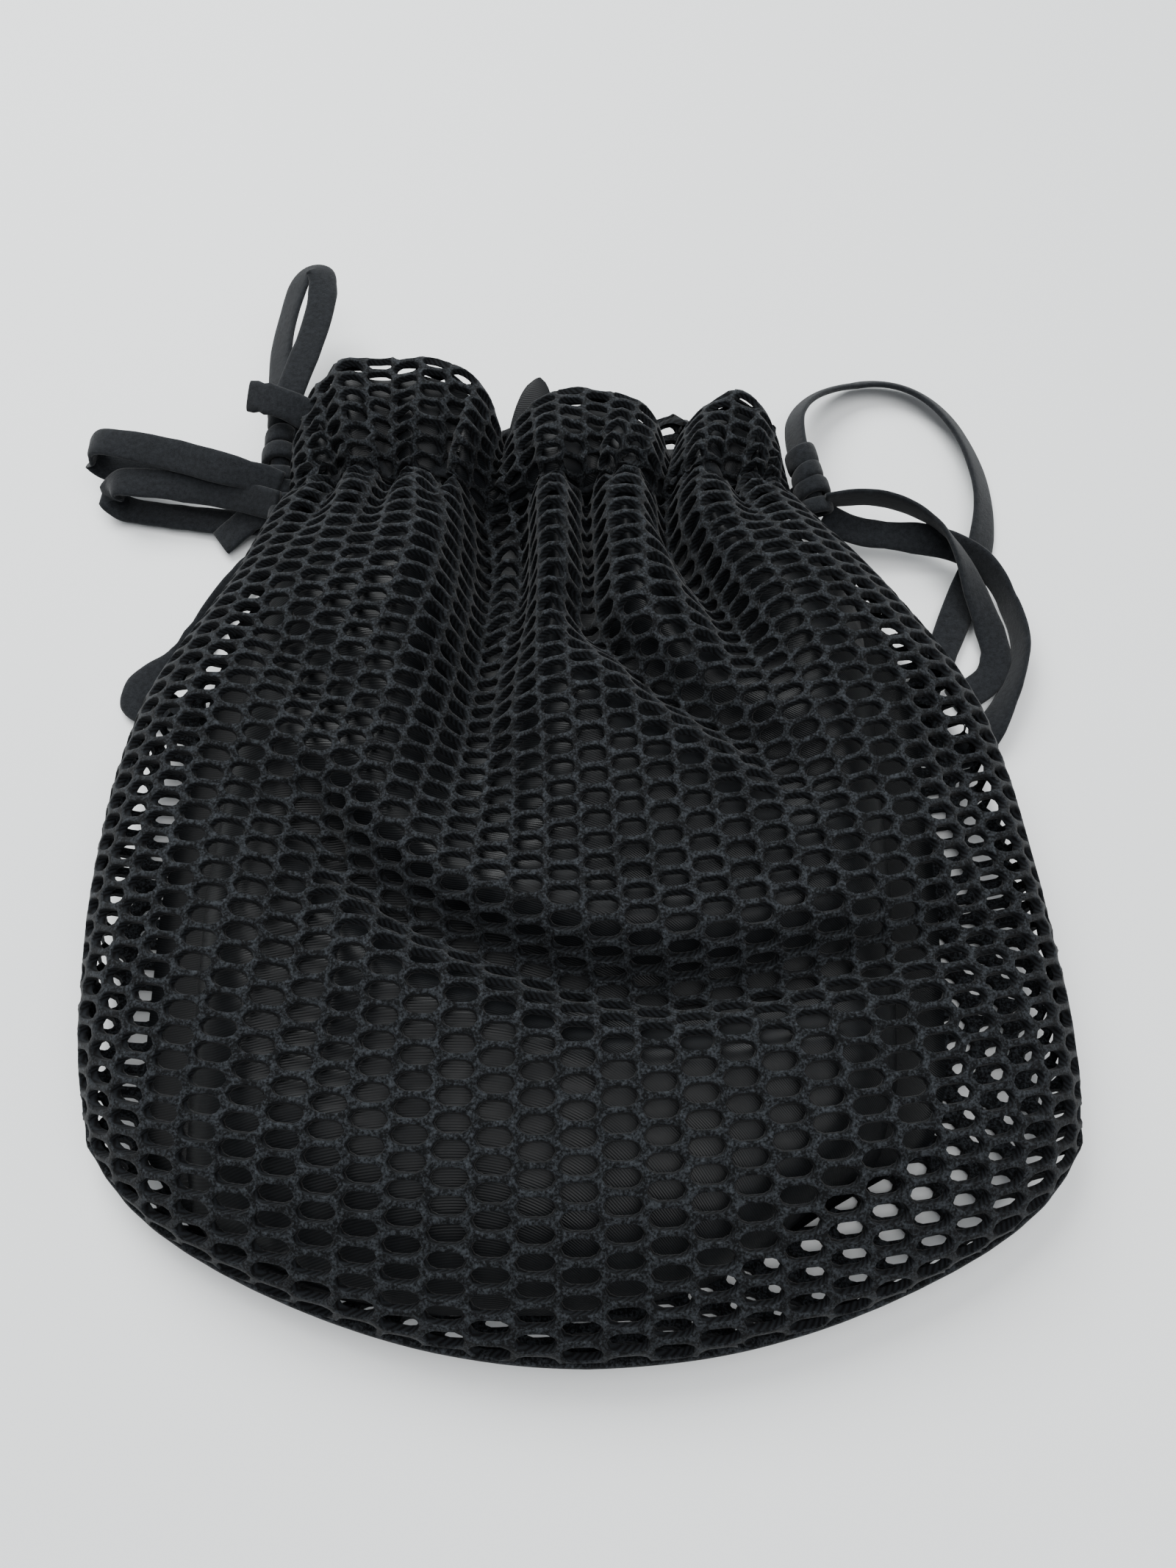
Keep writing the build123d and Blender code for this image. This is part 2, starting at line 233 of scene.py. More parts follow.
def slanted_weave_group():
    """Fine slanting lines of a satin or twill, in the cloth's own metres. Outputs 0 to 1."""
    group, given, result = shader_group(
        "slanted_weave", [("Line Pitch", 0.0006), ("Slant", 0.6)], ["Lines"])
    split = add_node(group, "ShaderNodeSeparateXYZ")
    wire(group, given.outputs["Coordinates"], split.inputs["Vector"])
    slanted = add_node(group, "ShaderNodeMath", operation="MULTIPLY_ADD")
    wire(group, split.outputs["X"], slanted.inputs[0])
    wire(group, given.outputs["Slant"], slanted.inputs[1])
    wire(group, split.outputs["Y"], slanted.inputs[2])
    turns = add_node(group, "ShaderNodeMath", operation="DIVIDE")
    wire(group, slanted.outputs[0], turns.inputs[0])
    wire(group, given.outputs["Line Pitch"], turns.inputs[1])
    angle = add_node(group, "ShaderNodeMath", {1: 2 * math.pi}, operation="MULTIPLY")
    wire(group, turns.outputs[0], angle.inputs[0])
    wave = add_node(group, "ShaderNodeMath", operation="SINE")
    wire(group, angle.outputs[0], wave.inputs[0])
    spread = add_node(group, "ShaderNodeMapRange", {"From Min": -1.0, "From Max": 1.0})
    wire(group, wave.outputs[0], spread.inputs["Value"])
    wire(group, spread.outputs["Result"], result.inputs["Lines"])
    return group


LOOSE_FIBRE = loose_fibre_group()
SLANTED_WEAVE = slanted_weave_group()
print("shader groups:", LOOSE_FIBRE.name, SLANTED_WEAVE.name)


def place_group(tree, group, coordinates, values):
    """Put a shared group in a material, with that material's own sizes."""
    node = add_node(tree, "ShaderNodeGroup", node_tree=group)
    for key, value in values.items():
        node.inputs[key].default_value = value
    wire(tree, coordinates, node.inputs["Coordinates"])
    return node


def colour_between(tree, factor, dark, light, shader):
    """Base colour from dark to light by a mask."""
    mix = add_node(tree, "ShaderNodeMix", data_type="RGBA")
    mix.inputs["A"].default_value = (*dark, 1)
    mix.inputs["B"].default_value = (*light, 1)
    wire(tree, factor, mix.inputs["Factor"])
    wire(tree, mix.outputs["Result"], shader.inputs["Base Color"])
    return mix


def bump_from(tree, height, distance, shader, strength=1.0):
    bump = add_node(tree, "ShaderNodeBump", {"Strength": strength, "Distance": distance})
    wire(tree, height, bump.inputs["Height"])
    wire(tree, bump.outputs["Normal"], shader.inputs["Normal"])
    return bump


# %% [markdown]
# ## The suede lace's finish
# The lace is brushed microfibre, folded to a flat strip. It is nearly black with a blue cast,
# quite matt, and its nap is a field of tiny fibres that catch light at the edges: a little
# sheen does that. The colour flecks and the bump come from the shared fibre group.

# %% Material: suede lace


def suede_lace_material():
    material, shader = new_material("suede_lace", 0.95)
    tree = material.node_tree
    place = add_node(tree, "ShaderNodeTexCoord").outputs["Object"]
    fibre = place_group(tree, LOOSE_FIBRE, place,
                        {"Fibre Scale": 3200.0, "Tuft Scale": 700.0, "Tuft Share": 0.45})
    colour_between(tree, fibre.outputs["Flecks"], (0.0034, 0.0040, 0.0048),
                   (0.0175, 0.0195, 0.0225), shader)
    bump_from(tree, fibre.outputs["Height"], 0.35 * MM, shader, 0.9)
    shader.inputs["Sheen Weight"].default_value = 0.12
    shader.inputs["Sheen Roughness"].default_value = 0.5
    shader.inputs["Specular IOR Level"].default_value = 0.08
    return material


SUEDE = suede_lace_material()

# %% [markdown]
# ## The laces
# Each lace is a flat strip about 10 mm wide. Its route is a short list of given points,
# the same as in the solid model, and becomes one smooth NURBS line. The strip is then laid
# along that line. How the strip is turned at each point matters more than anything else:
# a lace that faces the eye shows its full width, and one that stands on edge shows 2 mm.
# So every point carries a turn, in degrees from lying flat.

# %% Read a smooth line from a route


def route_line(name, points):
    """Points along the NURBS line of a route, in metres, close together."""
    curve = bpy.data.curves.new(name, "CURVE")
    curve.dimensions = "3D"
    curve.resolution_u = 16
    spline = curve.splines.new("NURBS")
    spline.points.add(len(points) - 1)
    for point, place in zip(spline.points, points):
        point.co = (*place, 1)
    spline.order_u = 3
    spline.use_endpoint_u = True
    holder = add_object(name, curve)
    bpy.context.view_layer.update()
    line = bpy.data.meshes.new_from_object(holder)
    places = np.array([v.co for v in line.vertices])
    bpy.data.objects.remove(holder)
    bpy.data.meshes.remove(line)
    bpy.data.curves.remove(curve)
    return places


def line_length(places):
    return float(np.linalg.norm(np.diff(places, axis=0), axis=1).sum())


def spread_over_line(values, count):
    """Values given at the route's points, read at each point of its smooth line."""
    spans = len(values) - 2
    stations = np.concatenate([[0], np.arange(len(values) - 2) + 0.5, [spans]])
    return np.interp(np.linspace(0, spans, count), stations, values)


# %% Lay a flat strip along a line
LACE_WIDTH = 10.6 * MM
LACE_THICKNESS = 2.2 * MM
LACE_SIDES = 18
EDGE_POWER, FACE_POWER = 0.55, 0.75          # 1 makes an ellipse, less makes it squarer
GROOVE_WIDTH, GROOVE_DEPTH = 0.12, 0.16      # shares of the strip's width and thickness
STEEP = 0.25             # a route steeper than this keeps the strip's last direction
UNEVENNESS = 0.035       # how much the strip's width varies
UNEVEN_EVERY = 6         # places between two different widths


def strip_section(width, thickness, sides=LACE_SIDES):
    """Rounded flat section with a shallow groove where the strip's edges meet."""
    angles = np.linspace(0, 2 * math.pi, sides, endpoint=False)
    across = np.sign(np.cos(angles)) * np.abs(np.cos(angles)) ** EDGE_POWER * width / 2
    up = np.sign(np.sin(angles)) * np.abs(np.sin(angles)) ** FACE_POWER * thickness / 2
    groove = np.exp(-(across / (GROOVE_WIDTH * width)) ** 2) * (up > 0) * GROOVE_DEPTH * thickness
    return across, up - groove


def unit(rows):
    return rows / np.maximum(np.linalg.norm(rows, axis=-1, keepdims=True), 1e-12)


def sideways_along(tangents):
    """Level directions across a route, kept from flipping over where it is steep."""
    sideways = np.cross(tangents, np.array([0.0, 0.0, 1.0]))
    previous = None
    for k, side in enumerate(sideways):
        if np.linalg.norm(side) < STEEP and previous is not None:
            side = previous - tangents[k] * (previous @ tangents[k])
        side = side / max(np.linalg.norm(side), 1e-9)
        if previous is not None and side @ previous < 0:
            side = -side
        sideways[k] = previous = side
    return sideways


def tube_faces(count, sides):
    """Faces of a closed tube made of rings of vertices, with both ends capped."""
    faces = []
    for k in range(count - 1):
        for j in range(sides):
            a, b = k * sides + j, k * sides + (j + 1) % sides
            faces.append((a, b, b + sides, a + sides))
    faces.append(tuple(range(sides)))
    last = (count - 1) * sides
    faces.append(tuple(last + j for j in reversed(range(sides))))
    return faces


def strip_along(name, places, turns, wobble_seed=1, width=LACE_WIDTH,
                thickness=LACE_THICKNESS, material=SUEDE):
    """Flat strip swept along the places; turns are in degrees from lying flat."""
    tangents = unit(np.gradient(places, axis=0))
    sideways = sideways_along(tangents)
    upward = unit(np.cross(sideways, tangents))
    turned = np.radians(turns)[:, None]
    across_axis = sideways * np.cos(turned) + upward * np.sin(turned)
    up_axis = unit(np.cross(across_axis, tangents))
    across, height = strip_section(width, thickness)
    random = np.random.default_rng(wobble_seed)
    count = len(places)
    stations = np.arange(0, count + UNEVEN_EVERY, UNEVEN_EVERY)
    swell = 1 + UNEVENNESS * np.interp(np.arange(count), stations,
                                       random.normal(0, 1, len(stations)))
    rings = (places[:, None, :]
             + across_axis[:, None, :] * (across[None, :, None] * swell[:, None, None])
             + up_axis[:, None, :] * height[None, :, None])
    piece = mesh_piece(name, rings.reshape(-1, 3), tube_faces(count, len(across)))
    face_outwards(piece)
    piece.data.materials.append(material)
    return piece


# %% The routes, with the turn of the strip at each point
FLOOR_LINE = 2.6
FLOOR_ROOM = 1.1     # uneven laces need a little more than their own half width
ROUTES = {
    "left_upright_loop": (
        [(-103, 149, 19), (-104.5, 164, 19.5), (-105, 180, 21.5), (-102.5, 196, 24.5),
         (-99, 209, 28), (-92, 210, 29), (-90, 196, 28.5), (-92.5, 178, 26.5),
         (-97, 162, 24), (-100, 150, 22)],
        [32, 34, 34, 32, 30, 20, 6, 0, 0, 4]),
    "left_back_loop": (
        [(-99, 116, 17.5), (-108, 119, 20), (-120, 122, 21), (-136, 127.5, 21),
         (-152, 132, 21), (-167, 135, 20.5), (-167.5, 134, 8.5), (-152, 131, 8.5),
         (-136, 126, 9), (-120, 121.5, 9.5), (-108, 118.5, 10), (-99, 116, 11)],
        [35, 32, 30, 27, 18, 4, -4, -16, -22, -24, -20, -15]),
    "left_front_loop": (
        [(-99, 109.5, 15.5), (-108, 113, 15), (-120, 116.5, 14.5), (-134, 119.5, 14.5),
         (-148, 121, 14.5), (-160, 122, 14), (-160.5, 119.5, 3), (-148, 117, 2.8),
         (-134, 115, 2.8), (-120, 113, 3), (-108, 111.5, 4.2), (-99, 110.5, 6)],
        [50, 46, 38, 28, 16, 4, -2, -2, 0, 0, 0, 0]),
    "left_cut_tail": (
        [(-99, 112.5, 12.5), (-107, 112.5, 9.5), (-114.5, 109, 6), (-121.5, 104, 2.7)],
        [20, 15, 8, 0]),
    "left_long_strand": (
        [(-97.5, 103.5, 5), (-103, 97, 3), (-110, 88, FLOOR_LINE), (-116, 77, FLOOR_LINE),
         (-121.5, 65, FLOOR_LINE), (-127.5, 54.5, FLOOR_LINE), (-139, 48.5, FLOOR_LINE),
         (-140.5, 38.5, FLOOR_LINE), (-129, 34.5, FLOOR_LINE), (-117, 36.5, FLOOR_LINE)],
        [0, 20, 50, 55, 30, 10, 0, 0, 0, 0]),
    "right_long_loop": (
        [(78.8, 128, 19), (77.5, 142.5, 17.5), (82.5, 158, 13), (93.5, 171, 7.5),
         (109, 178, 3.8), (125, 175.5, FLOOR_LINE), (137, 163.5, FLOOR_LINE),
         (144, 144, FLOOR_LINE), (146, 123, FLOOR_LINE), (142.5, 103, FLOOR_LINE),
         (135, 86, FLOOR_LINE), (128, 70.5, FLOOR_LINE), (121.5, 56, FLOOR_LINE),
         (114, 44, FLOOR_LINE), (110, 31, FLOOR_LINE), (117, 20, FLOOR_LINE),
         (128, 21.5, FLOOR_LINE), (135.5, 32, FLOOR_LINE), (143, 45, FLOOR_LINE),
         (148.5, 59, 2.8), (147.5, 74, 5.2), (142.5, 87, 8.8), (133, 96.5, 9.4),
         (121, 101, 9), (107.5, 102.5, 9), (96, 104, 9.5), (86.5, 108.8, 11)],
        [66, 62, 54, 46, 41, 41, 42, 44, 40, 30, 15, 5, 0, 0, 0, 0, 10, 40, 65, 76, 82, 80,
         68, 36, 15, 12, 20]),
    "right_short_strand": (
        [(86, 110.8, 17), (95, 112, 17.6), (106, 112, 17.2), (117, 108, 16.2),
         (126, 100, 15.4), (131, 90, 13.6), (135, 78, 9.2), (139.5, 66, 4.2),
         (141, 55, FLOOR_LINE), (134.5, 45.5, FLOOR_LINE), (124, 40, FLOOR_LINE)],
        [72, 76, 76, 70, 60, 42, 20, 5, 0, 0, 0]),
}
BODY_OF = {name: ("left_drawstring" if name.startswith("left") else "right_drawstring")
           for name in ROUTES}

lace_pieces = {}
for number, (name, (points, turns)) in enumerate(ROUTES.items()):
    line = route_line(name, mm(points))
    keep_up = np.maximum(line[:, 2], LACE_THICKNESS / 2 + 0.05 * MM)
    line = np.column_stack([line[:, 0], line[:, 1], keep_up])
    spread_turns = spread_over_line(turns, len(line))
    lean = np.radians(spread_turns)
    half_rise = np.abs(np.sin(lean)) * LACE_WIDTH / 2 + np.abs(np.cos(lean)) * LACE_THICKNESS / 2
    raised = line.copy()
    raised[:, 2] = np.maximum(line[:, 2], half_rise * FLOOR_ROOM)
    piece = strip_along(name + "_lace", raised, spread_turns, wobble_seed=number + 5)
    lace_pieces[name] = piece
    print(f"{name}: {line_length(raised) / MM:.0f} mm")

# %% [markdown]
# ## Knots
# Each pair of laces leaves the bag through a knot. A barrel knot is the lace wound on itself:
# one flat band on top and two or three plump turns below. Solid rings of the lace's own
# section, each a little tilted and out of round, read as a knot better than a traced knot,
# because only the outer turns show.

# %% Wind a knot
RING_STEPS, RING_SIDES = 36, 14
RING_PLUMPNESS = 1.25        # the turns are pulled tight, so the lace bulges
OUT_OF_ROUND = 0.07
CORE_WIDTH, CORE_LENGTH = 0.86, 0.53     # shares of the knot's radius and length


def lace_ring(centre, axis, radius, tilt, seed, cover):
    """One turn of lace round an axis, flat side outwards, as vertices and faces."""
    axis = Vector(axis).normalized()
    side = axis.orthogonal().normalized()
    random = np.random.default_rng(seed)
    front = axis.cross(side)
    across, height = strip_section(cover, LACE_THICKNESS * RING_PLUMPNESS, RING_SIDES)
    rows, faces = [], []
    phase = random.uniform(0, 2 * math.pi)
    for k in range(RING_STEPS):
        angle = 2 * math.pi * k / RING_STEPS
        outward = side * math.cos(angle) + front * math.sin(angle)
        swell = 1 + OUT_OF_ROUND * math.cos(2 * angle + phase)
        lift = tilt * math.sin(angle + phase)
        for a, h in zip(across, height):
            rows.append(Vector(centre) + outward * (radius * swell + h)
                        + axis * (a + lift))
    sides = len(across)
    for k in range(RING_STEPS):
        for j in range(sides):
            a, b = k * sides + j, k * sides + (j + 1) % sides
            c = ((k + 1) % RING_STEPS) * sides
            faces.append((a, b, c + (j + 1) % sides, c + j))
    return rows, faces


def knot(name, bottom, top, radius, rings):
    """Rings along a line, over a plain core; each ring is (share, radius share, width, tilt)."""
    bottom, top = Vector(bottom) * MM, Vector(top) * MM
    axis = top - bottom
    rows, faces = [], []
    for number, (share, radius_share, width, tilt) in enumerate(rings):
        ring_rows, ring_faces = lace_ring(bottom + axis * share, axis, radius * radius_share * MM,
                                          tilt * MM, number + 11, width * MM)
        start = len(rows)
        rows += ring_rows
        faces += [tuple(start + i for i in face) for face in ring_faces]
    turn = axis.to_track_quat("Z", "Y")
    core = bmesh.new()
    bmesh.ops.create_uvsphere(core, u_segments=24, v_segments=16, radius=1.0)
    start = len(rows)
    core.verts.ensure_lookup_table()
    for v in core.verts:
        shaped = Vector((v.co.x * radius * CORE_WIDTH * MM, v.co.y * radius * CORE_WIDTH * MM,
                         v.co.z * axis.length * CORE_LENGTH))
        shaped.rotate(turn)
        rows.append(bottom + axis * 0.5 + shaped)
    faces += [tuple(start + v.index for v in f.verts) for f in core.faces]
    core.free()
    piece = mesh_piece(name, rows, faces)
    face_outwards(piece)
    piece.data.materials.append(SUEDE)
    return piece


# %% The three knots
left_stopper = knot("left_barrel_knot", (-100.5, 122, 14), (-101.5, 151, 20), 4.6,
                    [(0.78, 0.85, 7.5, 0.6), (0.50, 1.0, 6.2, 1.8), (0.28, 1.1, 6.0, -1.6),
                     (0.08, 0.9, 5.6, 1.4)])
right_stopper = knot("right_barrel_knot", (84, 109, 14.5), (78.6, 131, 19.5), 4.3,
                     [(0.82, 1.0, 8.0, 0.5), (0.52, 1.05, 6.0, 1.4), (0.28, 1.08, 6.0, -1.2),
                      (0.04, 0.9, 5.6, 0.8)])
bow_knot = knot("left_bow_turns", (-97.8, 102.5, 8), (-98.6, 119.5, 14), 4.2,
                [(0.12, 0.95, 6.0, 0.8), (0.40, 1.15, 6.6, -1.0), (0.68, 1.1, 6.2, 1.2),
                 (0.95, 0.9, 5.4, 0.6)])
for piece, body, node in ((left_stopper, "left_drawstring", "left_stopper_knot"),
                          (right_stopper, "right_drawstring", "right_stopper_knot"),
                          (bow_knot, "left_drawstring", "left_bow_knot")):
    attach(piece, body)
    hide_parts(node)
print("knots:", left_stopper.name, right_stopper.name, bow_knot.name)

# %% The flat last turn on top of the left barrel knot
CAP_TURN = -32.0
CAP_WIDTH, CAP_THICKNESS = 10.5 * MM, 2.6 * MM
CAP_ROUTE = [(-110.5, 147, 28.5), (-106, 145.5, 29.5), (-100, 143, 30), (-94, 140.5, 29.5),
             (-88, 138, 27)]

cap_line = route_line("cap", mm(CAP_ROUTE))
knot_cap = strip_along("left_knot_cap", cap_line, np.full(len(cap_line), CAP_TURN), 21,
                       width=CAP_WIDTH, thickness=CAP_THICKNESS)
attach(knot_cap, "left_drawstring")
print("cap of the left knot:", round(line_length(cap_line) / MM), "mm")

# %% [markdown]
# ## The laces inside the casing, and the free laces
# The laces go on inside the gathered casing, where nobody sees them at rest, but they come
# out when a lace is pulled. They are the same strip on a short, nearly straight route. The
# free laces are given to their bodies, and their imported parts are hidden.

# %% The laces inside the casing
RUNS = {
    "left_lace_run": [(-96, 115, 7.5), (-55, 115.5, 7.5), (-15, 115, 7.5)],
    "right_lace_run": [(81, 117, 14), (77.5, 115.8, 9.7), (72.5, 115, 7.5), (35, 115.5, 7.5),
                       (-5, 115, 7.5)],
}
for name, points in RUNS.items():
    line = route_line(name, mm(points))
    piece = strip_along(name + "_lace", line, np.zeros(len(line)))
    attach(piece, "left_drawstring" if name.startswith("left") else "right_drawstring")
    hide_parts(name)
    print(name, round(line_length(line) / MM), "mm")

# %% Give each free lace to its body and hide its imported part
FAR_END = {"left_upright_loop": "object", "left_back_loop": "object",
           "left_front_loop": "object", "left_long_strand": "bare",
           "right_long_loop": "object", "right_short_strand": "bare"}
for name, piece in lace_pieces.items():
    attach(piece, BODY_OF[name])
    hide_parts(name)
for name, far_end in FAR_END.items():
    extra = [lace_pieces["left_cut_tail"]] if name == "left_long_strand" else []
print("free laces:", len(FAR_END))

# %% [markdown]
# ## The folds of the cloth
# A gathered bag is hard to simulate and hard to steer, and its folds are what an eye knows
# it by. So the front is written as a height over the table: a pillow rounded at its edges,
# less a set of valleys. Each valley is a line of points with a depth and a width. They are
# deep and narrow at the gathered neck and fade out on the belly, as pleats do.

# %% The outline, seen from above
# Side edges as (y, x left, x right), in millimetres; the bottom edge sags towards its middle.
OUTLINE = np.array([(-152, -119, 130), (-112, -119.5, 130.5), (-104, -122.5, 133.5),
                    (-90, -127, 135.5), (-70, -131, 136), (-50, -133, 135.5),
                    (-28, -134.5, 133.5), (0, -134, 131), (27, -130, 126), (45, -122.5, 117.5),
                    (59, -115, 109), (76, -108, 99), (92, -104, 87), (106, -98, 77),
                    (113, -93, 73), (122, -91, 71), (150, -94, 71)], float)
BOTTOM_Y, BOTTOM_RISE, CORNER_RISE = -151.5, 40.5, 11.0
SEAM_Z = 12.0
NECK_Y = 112.0
CORNER_POWER = 20        # a high power keeps the extra rise to the very corners
OUTLINE_BLUR = 9.0       # the outline is averaged over this far up and down


def edges_at(y):
    """Left and right edge of the bag at y, with the outline's corners smoothed."""
    reach = np.linspace(-OUTLINE_BLUR, OUTLINE_BLUR, 7)
    left = np.mean([np.interp(y + r, OUTLINE[:, 0], OUTLINE[:, 1]) for r in reach], axis=0)
    right = np.mean([np.interp(y + r, OUTLINE[:, 0], OUTLINE[:, 2]) for r in reach], axis=0)
    return left, right


def bottom_at(share):
    """The bottom edge's y, at a share from -1 (left) to 1 (right) of the half width."""
    return BOTTOM_Y + BOTTOM_RISE * share ** 2 + CORNER_RISE * share ** CORNER_POWER


def rounding(distance, radius):
    """Quarter-circle rise from 0 at an edge to 1 at the radius."""
    near = np.clip(distance / radius, 0, 1)
    return np.sqrt(np.maximum(1 - (1 - near) ** 2, 0))


print("bottom of the bag: y", BOTTOM_Y, "in the middle,", round(bottom_at(1.0), 1), "at the corners")

# %% The valleys and ridges: (x, y, depth, half width) along each, in millimetres
VALLEYS = [
    [(-27.0, 152, 14, 6), (-28.0, 114, 22, 7.5), (-27.0, 100, 30, 9), (-27.1, 76, 30, 9.5),
     (-26.7, 44, 22, 9.5), (-26.1, 10, 12, 12), (-26, -17, 4, 14), (-26, -40, 0, 15)],
    [(-17, 125, 6, 4), (-15.0, 108, 14, 4.5), (-14.9, 85, 21, 5), (-14.5, 69, 19, 5.5),
     (-14.6, 48, 12, 6), (-15.6, 32, 5, 8), (-16, 15, 0, 9)],
    [(4, 128, 6, 4), (4.8, 110, 14, 5), (6.0, 78, 18, 5.5), (6.0, 55, 12, 6.5),
     (4.8, 40, 5, 8), (3, 28, 0, 9)],
    [(33, 150, 8, 5), (31, 112, 16, 5), (32.0, 88, 20, 6), (38.5, 69, 18, 7),
     (46.3, 50, 12, 8), (54.3, 30, 6, 10), (62, 12, 0, 11)],
    [(-2.0, 66, 0, 6), (4, 52, 7, 6), (14, 39, 11, 6), (27, 24, 11, 7), (46, 11, 10, 7.5),
     (60, -3, 6, 9), (78, -14, 0, 10)],
    [(-58.0, 118, 9, 4), (-60, 98, 7, 5), (-63, 72, 0, 7)],
    [(-76.0, 116, 7, 4), (-79, 96, 5, 5), (-85, 72, 0, 7)],
    [(-43.0, 118, 8, 3.5), (-44, 100, 5, 4.5), (-46, 78, 0, 6)],
    [(52.0, 118, 9, 4), (56, 98, 7, 5), (62, 74, 0, 7)],
    [(-80, -2, 0, 7), (-70, -14, 7, 7), (-61, -29, 10, 7), (-40, -46, 11, 7),
     (-20, -55, 11, 7), (2, -63, 11, 7.5), (25, -66.5, 10, 7.5), (53, -63, 9, 8),
     (82, -57, 7, 8.5), (108, -48, 4, 9), (124, -40, 0, 10)],
    [(-95, 20, 0, 9), (-84, -8, 4, 9), (-70, -40, 5, 10), (-66, -75, 3, 12), (-64, -98, 0, 13)],
    [(100, 30, 0, 9), (108, 5, 4, 9), (112, -25, 4, 9), (113, -50, 0, 10)],
    [(-100, 60, 0, 7), (-88, 42, 4, 7), (-72, 20, 4, 8), (-55, 6, 0, 9)],
]
RIDGES = [
    [(-45, 92, 3, 20), (-47, 55, 4, 24), (-50, 20, 1, 26)],
    [(66, 80, 2, 20), (67, 45, 4, 24), (70, 10, 1, 24)],
    [(-48, -25, 2, 13), (-22, -40, 4, 12), (10, -50, 4.5, 12), (45, -51, 4, 12), (85, -42, 1, 15)],
]


def along_folds(x, y, folds):
    """Summed depth of the folds at x, y: each falls off as a bell to its sides."""
    total = np.zeros_like(x)
    for fold in folds:
        fold = np.array(fold, float)
        best = np.full_like(x, 1e9)
        depth = np.zeros_like(x)
        for (ax, ay, ad, aw), (bx, by, bd, bw) in zip(fold[:-1], fold[1:]):
            span = (bx - ax) ** 2 + (by - ay) ** 2
            t = np.clip(((x - ax) * (bx - ax) + (y - ay) * (by - ay)) / span, 0, 1)
            gap = np.hypot(x - ax - t * (bx - ax), y - ay - t * (by - ay))
            here = (ad + t * (bd - ad)) * np.exp(-(gap / (aw + t * (bw - aw))) ** 2)
            closer = gap < best
            best = np.where(closer, gap, best)
            depth = np.where(closer, here, depth)
        total += depth
    return total


print("valleys:", len(VALLEYS), "ridges:", len(RIDGES))

# %% [markdown]
# ## The gathered neck, the frill and the guide surfaces
# Above the casing the cloth stands up in a frill of three soft lobes with a deep fold between
# them, and its edge is rolled to a hem. At the casing it is crumpled by the drawn laces. The
# frill isn't a height any more, since it leans and rolls over, so it continues the grid of
# places row by row: from the neck to the frill's own edge line, then round the hem.

# %% The frill's upper edge, from left to right: (x, y, z) in millimetres
FRILL_EDGE = np.array([
    (-96.4, 134, 17), (-93, 142, 25), (-86, 147, 33), (-76, 151.5, 41), (-64, 150.5, 38.5),
    (-53, 151.5, 41), (-42, 149, 40), (-33, 146, 37), (-27, 140.5, 31), (-23.5, 129, 15),
    (-20.5, 135, 24), (-13, 141, 31), (0, 144.5, 34), (11, 143, 33), (21, 141.5, 32.5),
    (29, 137, 28), (34, 126, 14), (38.5, 134, 24), (46, 141, 29), (57, 145, 33),
    (66, 140.5, 28), (70.5, 132, 22), (73, 123, 16)], float)

# %% How high the belly is along the bag, and the front's height
# BELLY holds (y, height of the crown over the table).
BELLY = np.array([(-152, 24), (-130, 30), (-100, 35.5), (-60, 40), (-20, 43), (20, 44.5),
                  (60, 44), (85, 41), (105, 37), (125, 35), (150, 35)], float)
FOLD_DEPTH = 1.12
CROWN_DROP, CROWN_SHARE = 3.0, 0.55      # the crown falls off beyond this share of the width
SIDE_RADIUS, NECK_RADIUS, BOTTOM_RADIUS = 40, 22, 40
FULLNESS = 0.92                          # less than 1 fills the pillow out
EDGE_FADE, EDGE_START = 1.4, 0.25        # folds fade out where the pillow turns down
GATHER_REACH, GATHER_DEPTH, GATHER_PITCH, GATHER_HEIGHT = 7.0, 4.5, 9.5, 2.0
CRUMPLE_HEIGHT = 2.1


def crumple(x, y):
    """Small uneven dents of cloth that is bunched by the drawn laces."""
    return CRUMPLE_HEIGHT * (np.sin(0.62 * x + 0.45 * y) * np.sin(0.53 * y - 0.27 * x + 1.3)
                             + np.sin(0.93 * x - 0.71 * y + 0.6) * np.sin(0.31 * x + 0.66 * y))


def front_height(x, y):
    """Height of the front cloth's middle over the table, before the frill."""
    left, right = edges_at(y)
    centre, half = (left + right) / 2, (right - left) / 2
    share = np.clip((x - centre) / half, -1, 1)
    side = np.minimum(x - left, right - x)
    low = y - bottom_at(share)
    crown = (np.interp(y, BELLY[:, 0], BELLY[:, 1])
             - CROWN_DROP * np.clip(np.abs(share) - CROWN_SHARE, 0, 1))
    radius = np.interp(y, [90, NECK_Y], [SIDE_RADIUS, NECK_RADIUS])
    rise = (rounding(side, radius) * rounding(low, BOTTOM_RADIUS)) ** FULLNESS
    height = SEAM_Z + (crown - SEAM_Z) * rise
    folds = FOLD_DEPTH * along_folds(x, y, VALLEYS) - along_folds(x, y, RIDGES)
    drawn_in = np.exp(-((y - NECK_Y) / GATHER_REACH) ** 2)
    gathers = np.sin(x * 2 * math.pi / GATHER_PITCH + 1.4 * np.sin(x * 0.11)) * GATHER_HEIGHT
    folds = folds + drawn_in * (GATHER_DEPTH - gathers - crumple(x, y))
    fade = np.clip(rise * EDGE_FADE - EDGE_START, 0, 1)
    return np.maximum(height - folds * fade, SEAM_Z - 2)


# %% The back's height
BACK_MIDDLE = 1.9                    # the back cloth's middle, where it lies on the table
BACK_SIDE_RADIUS, BACK_BOTTOM_RADIUS = 30, 26
BACK_LIFT_Y, BACK_LIFT = [80, 104], [0, 2.5]     # the neck lifts off the table a little


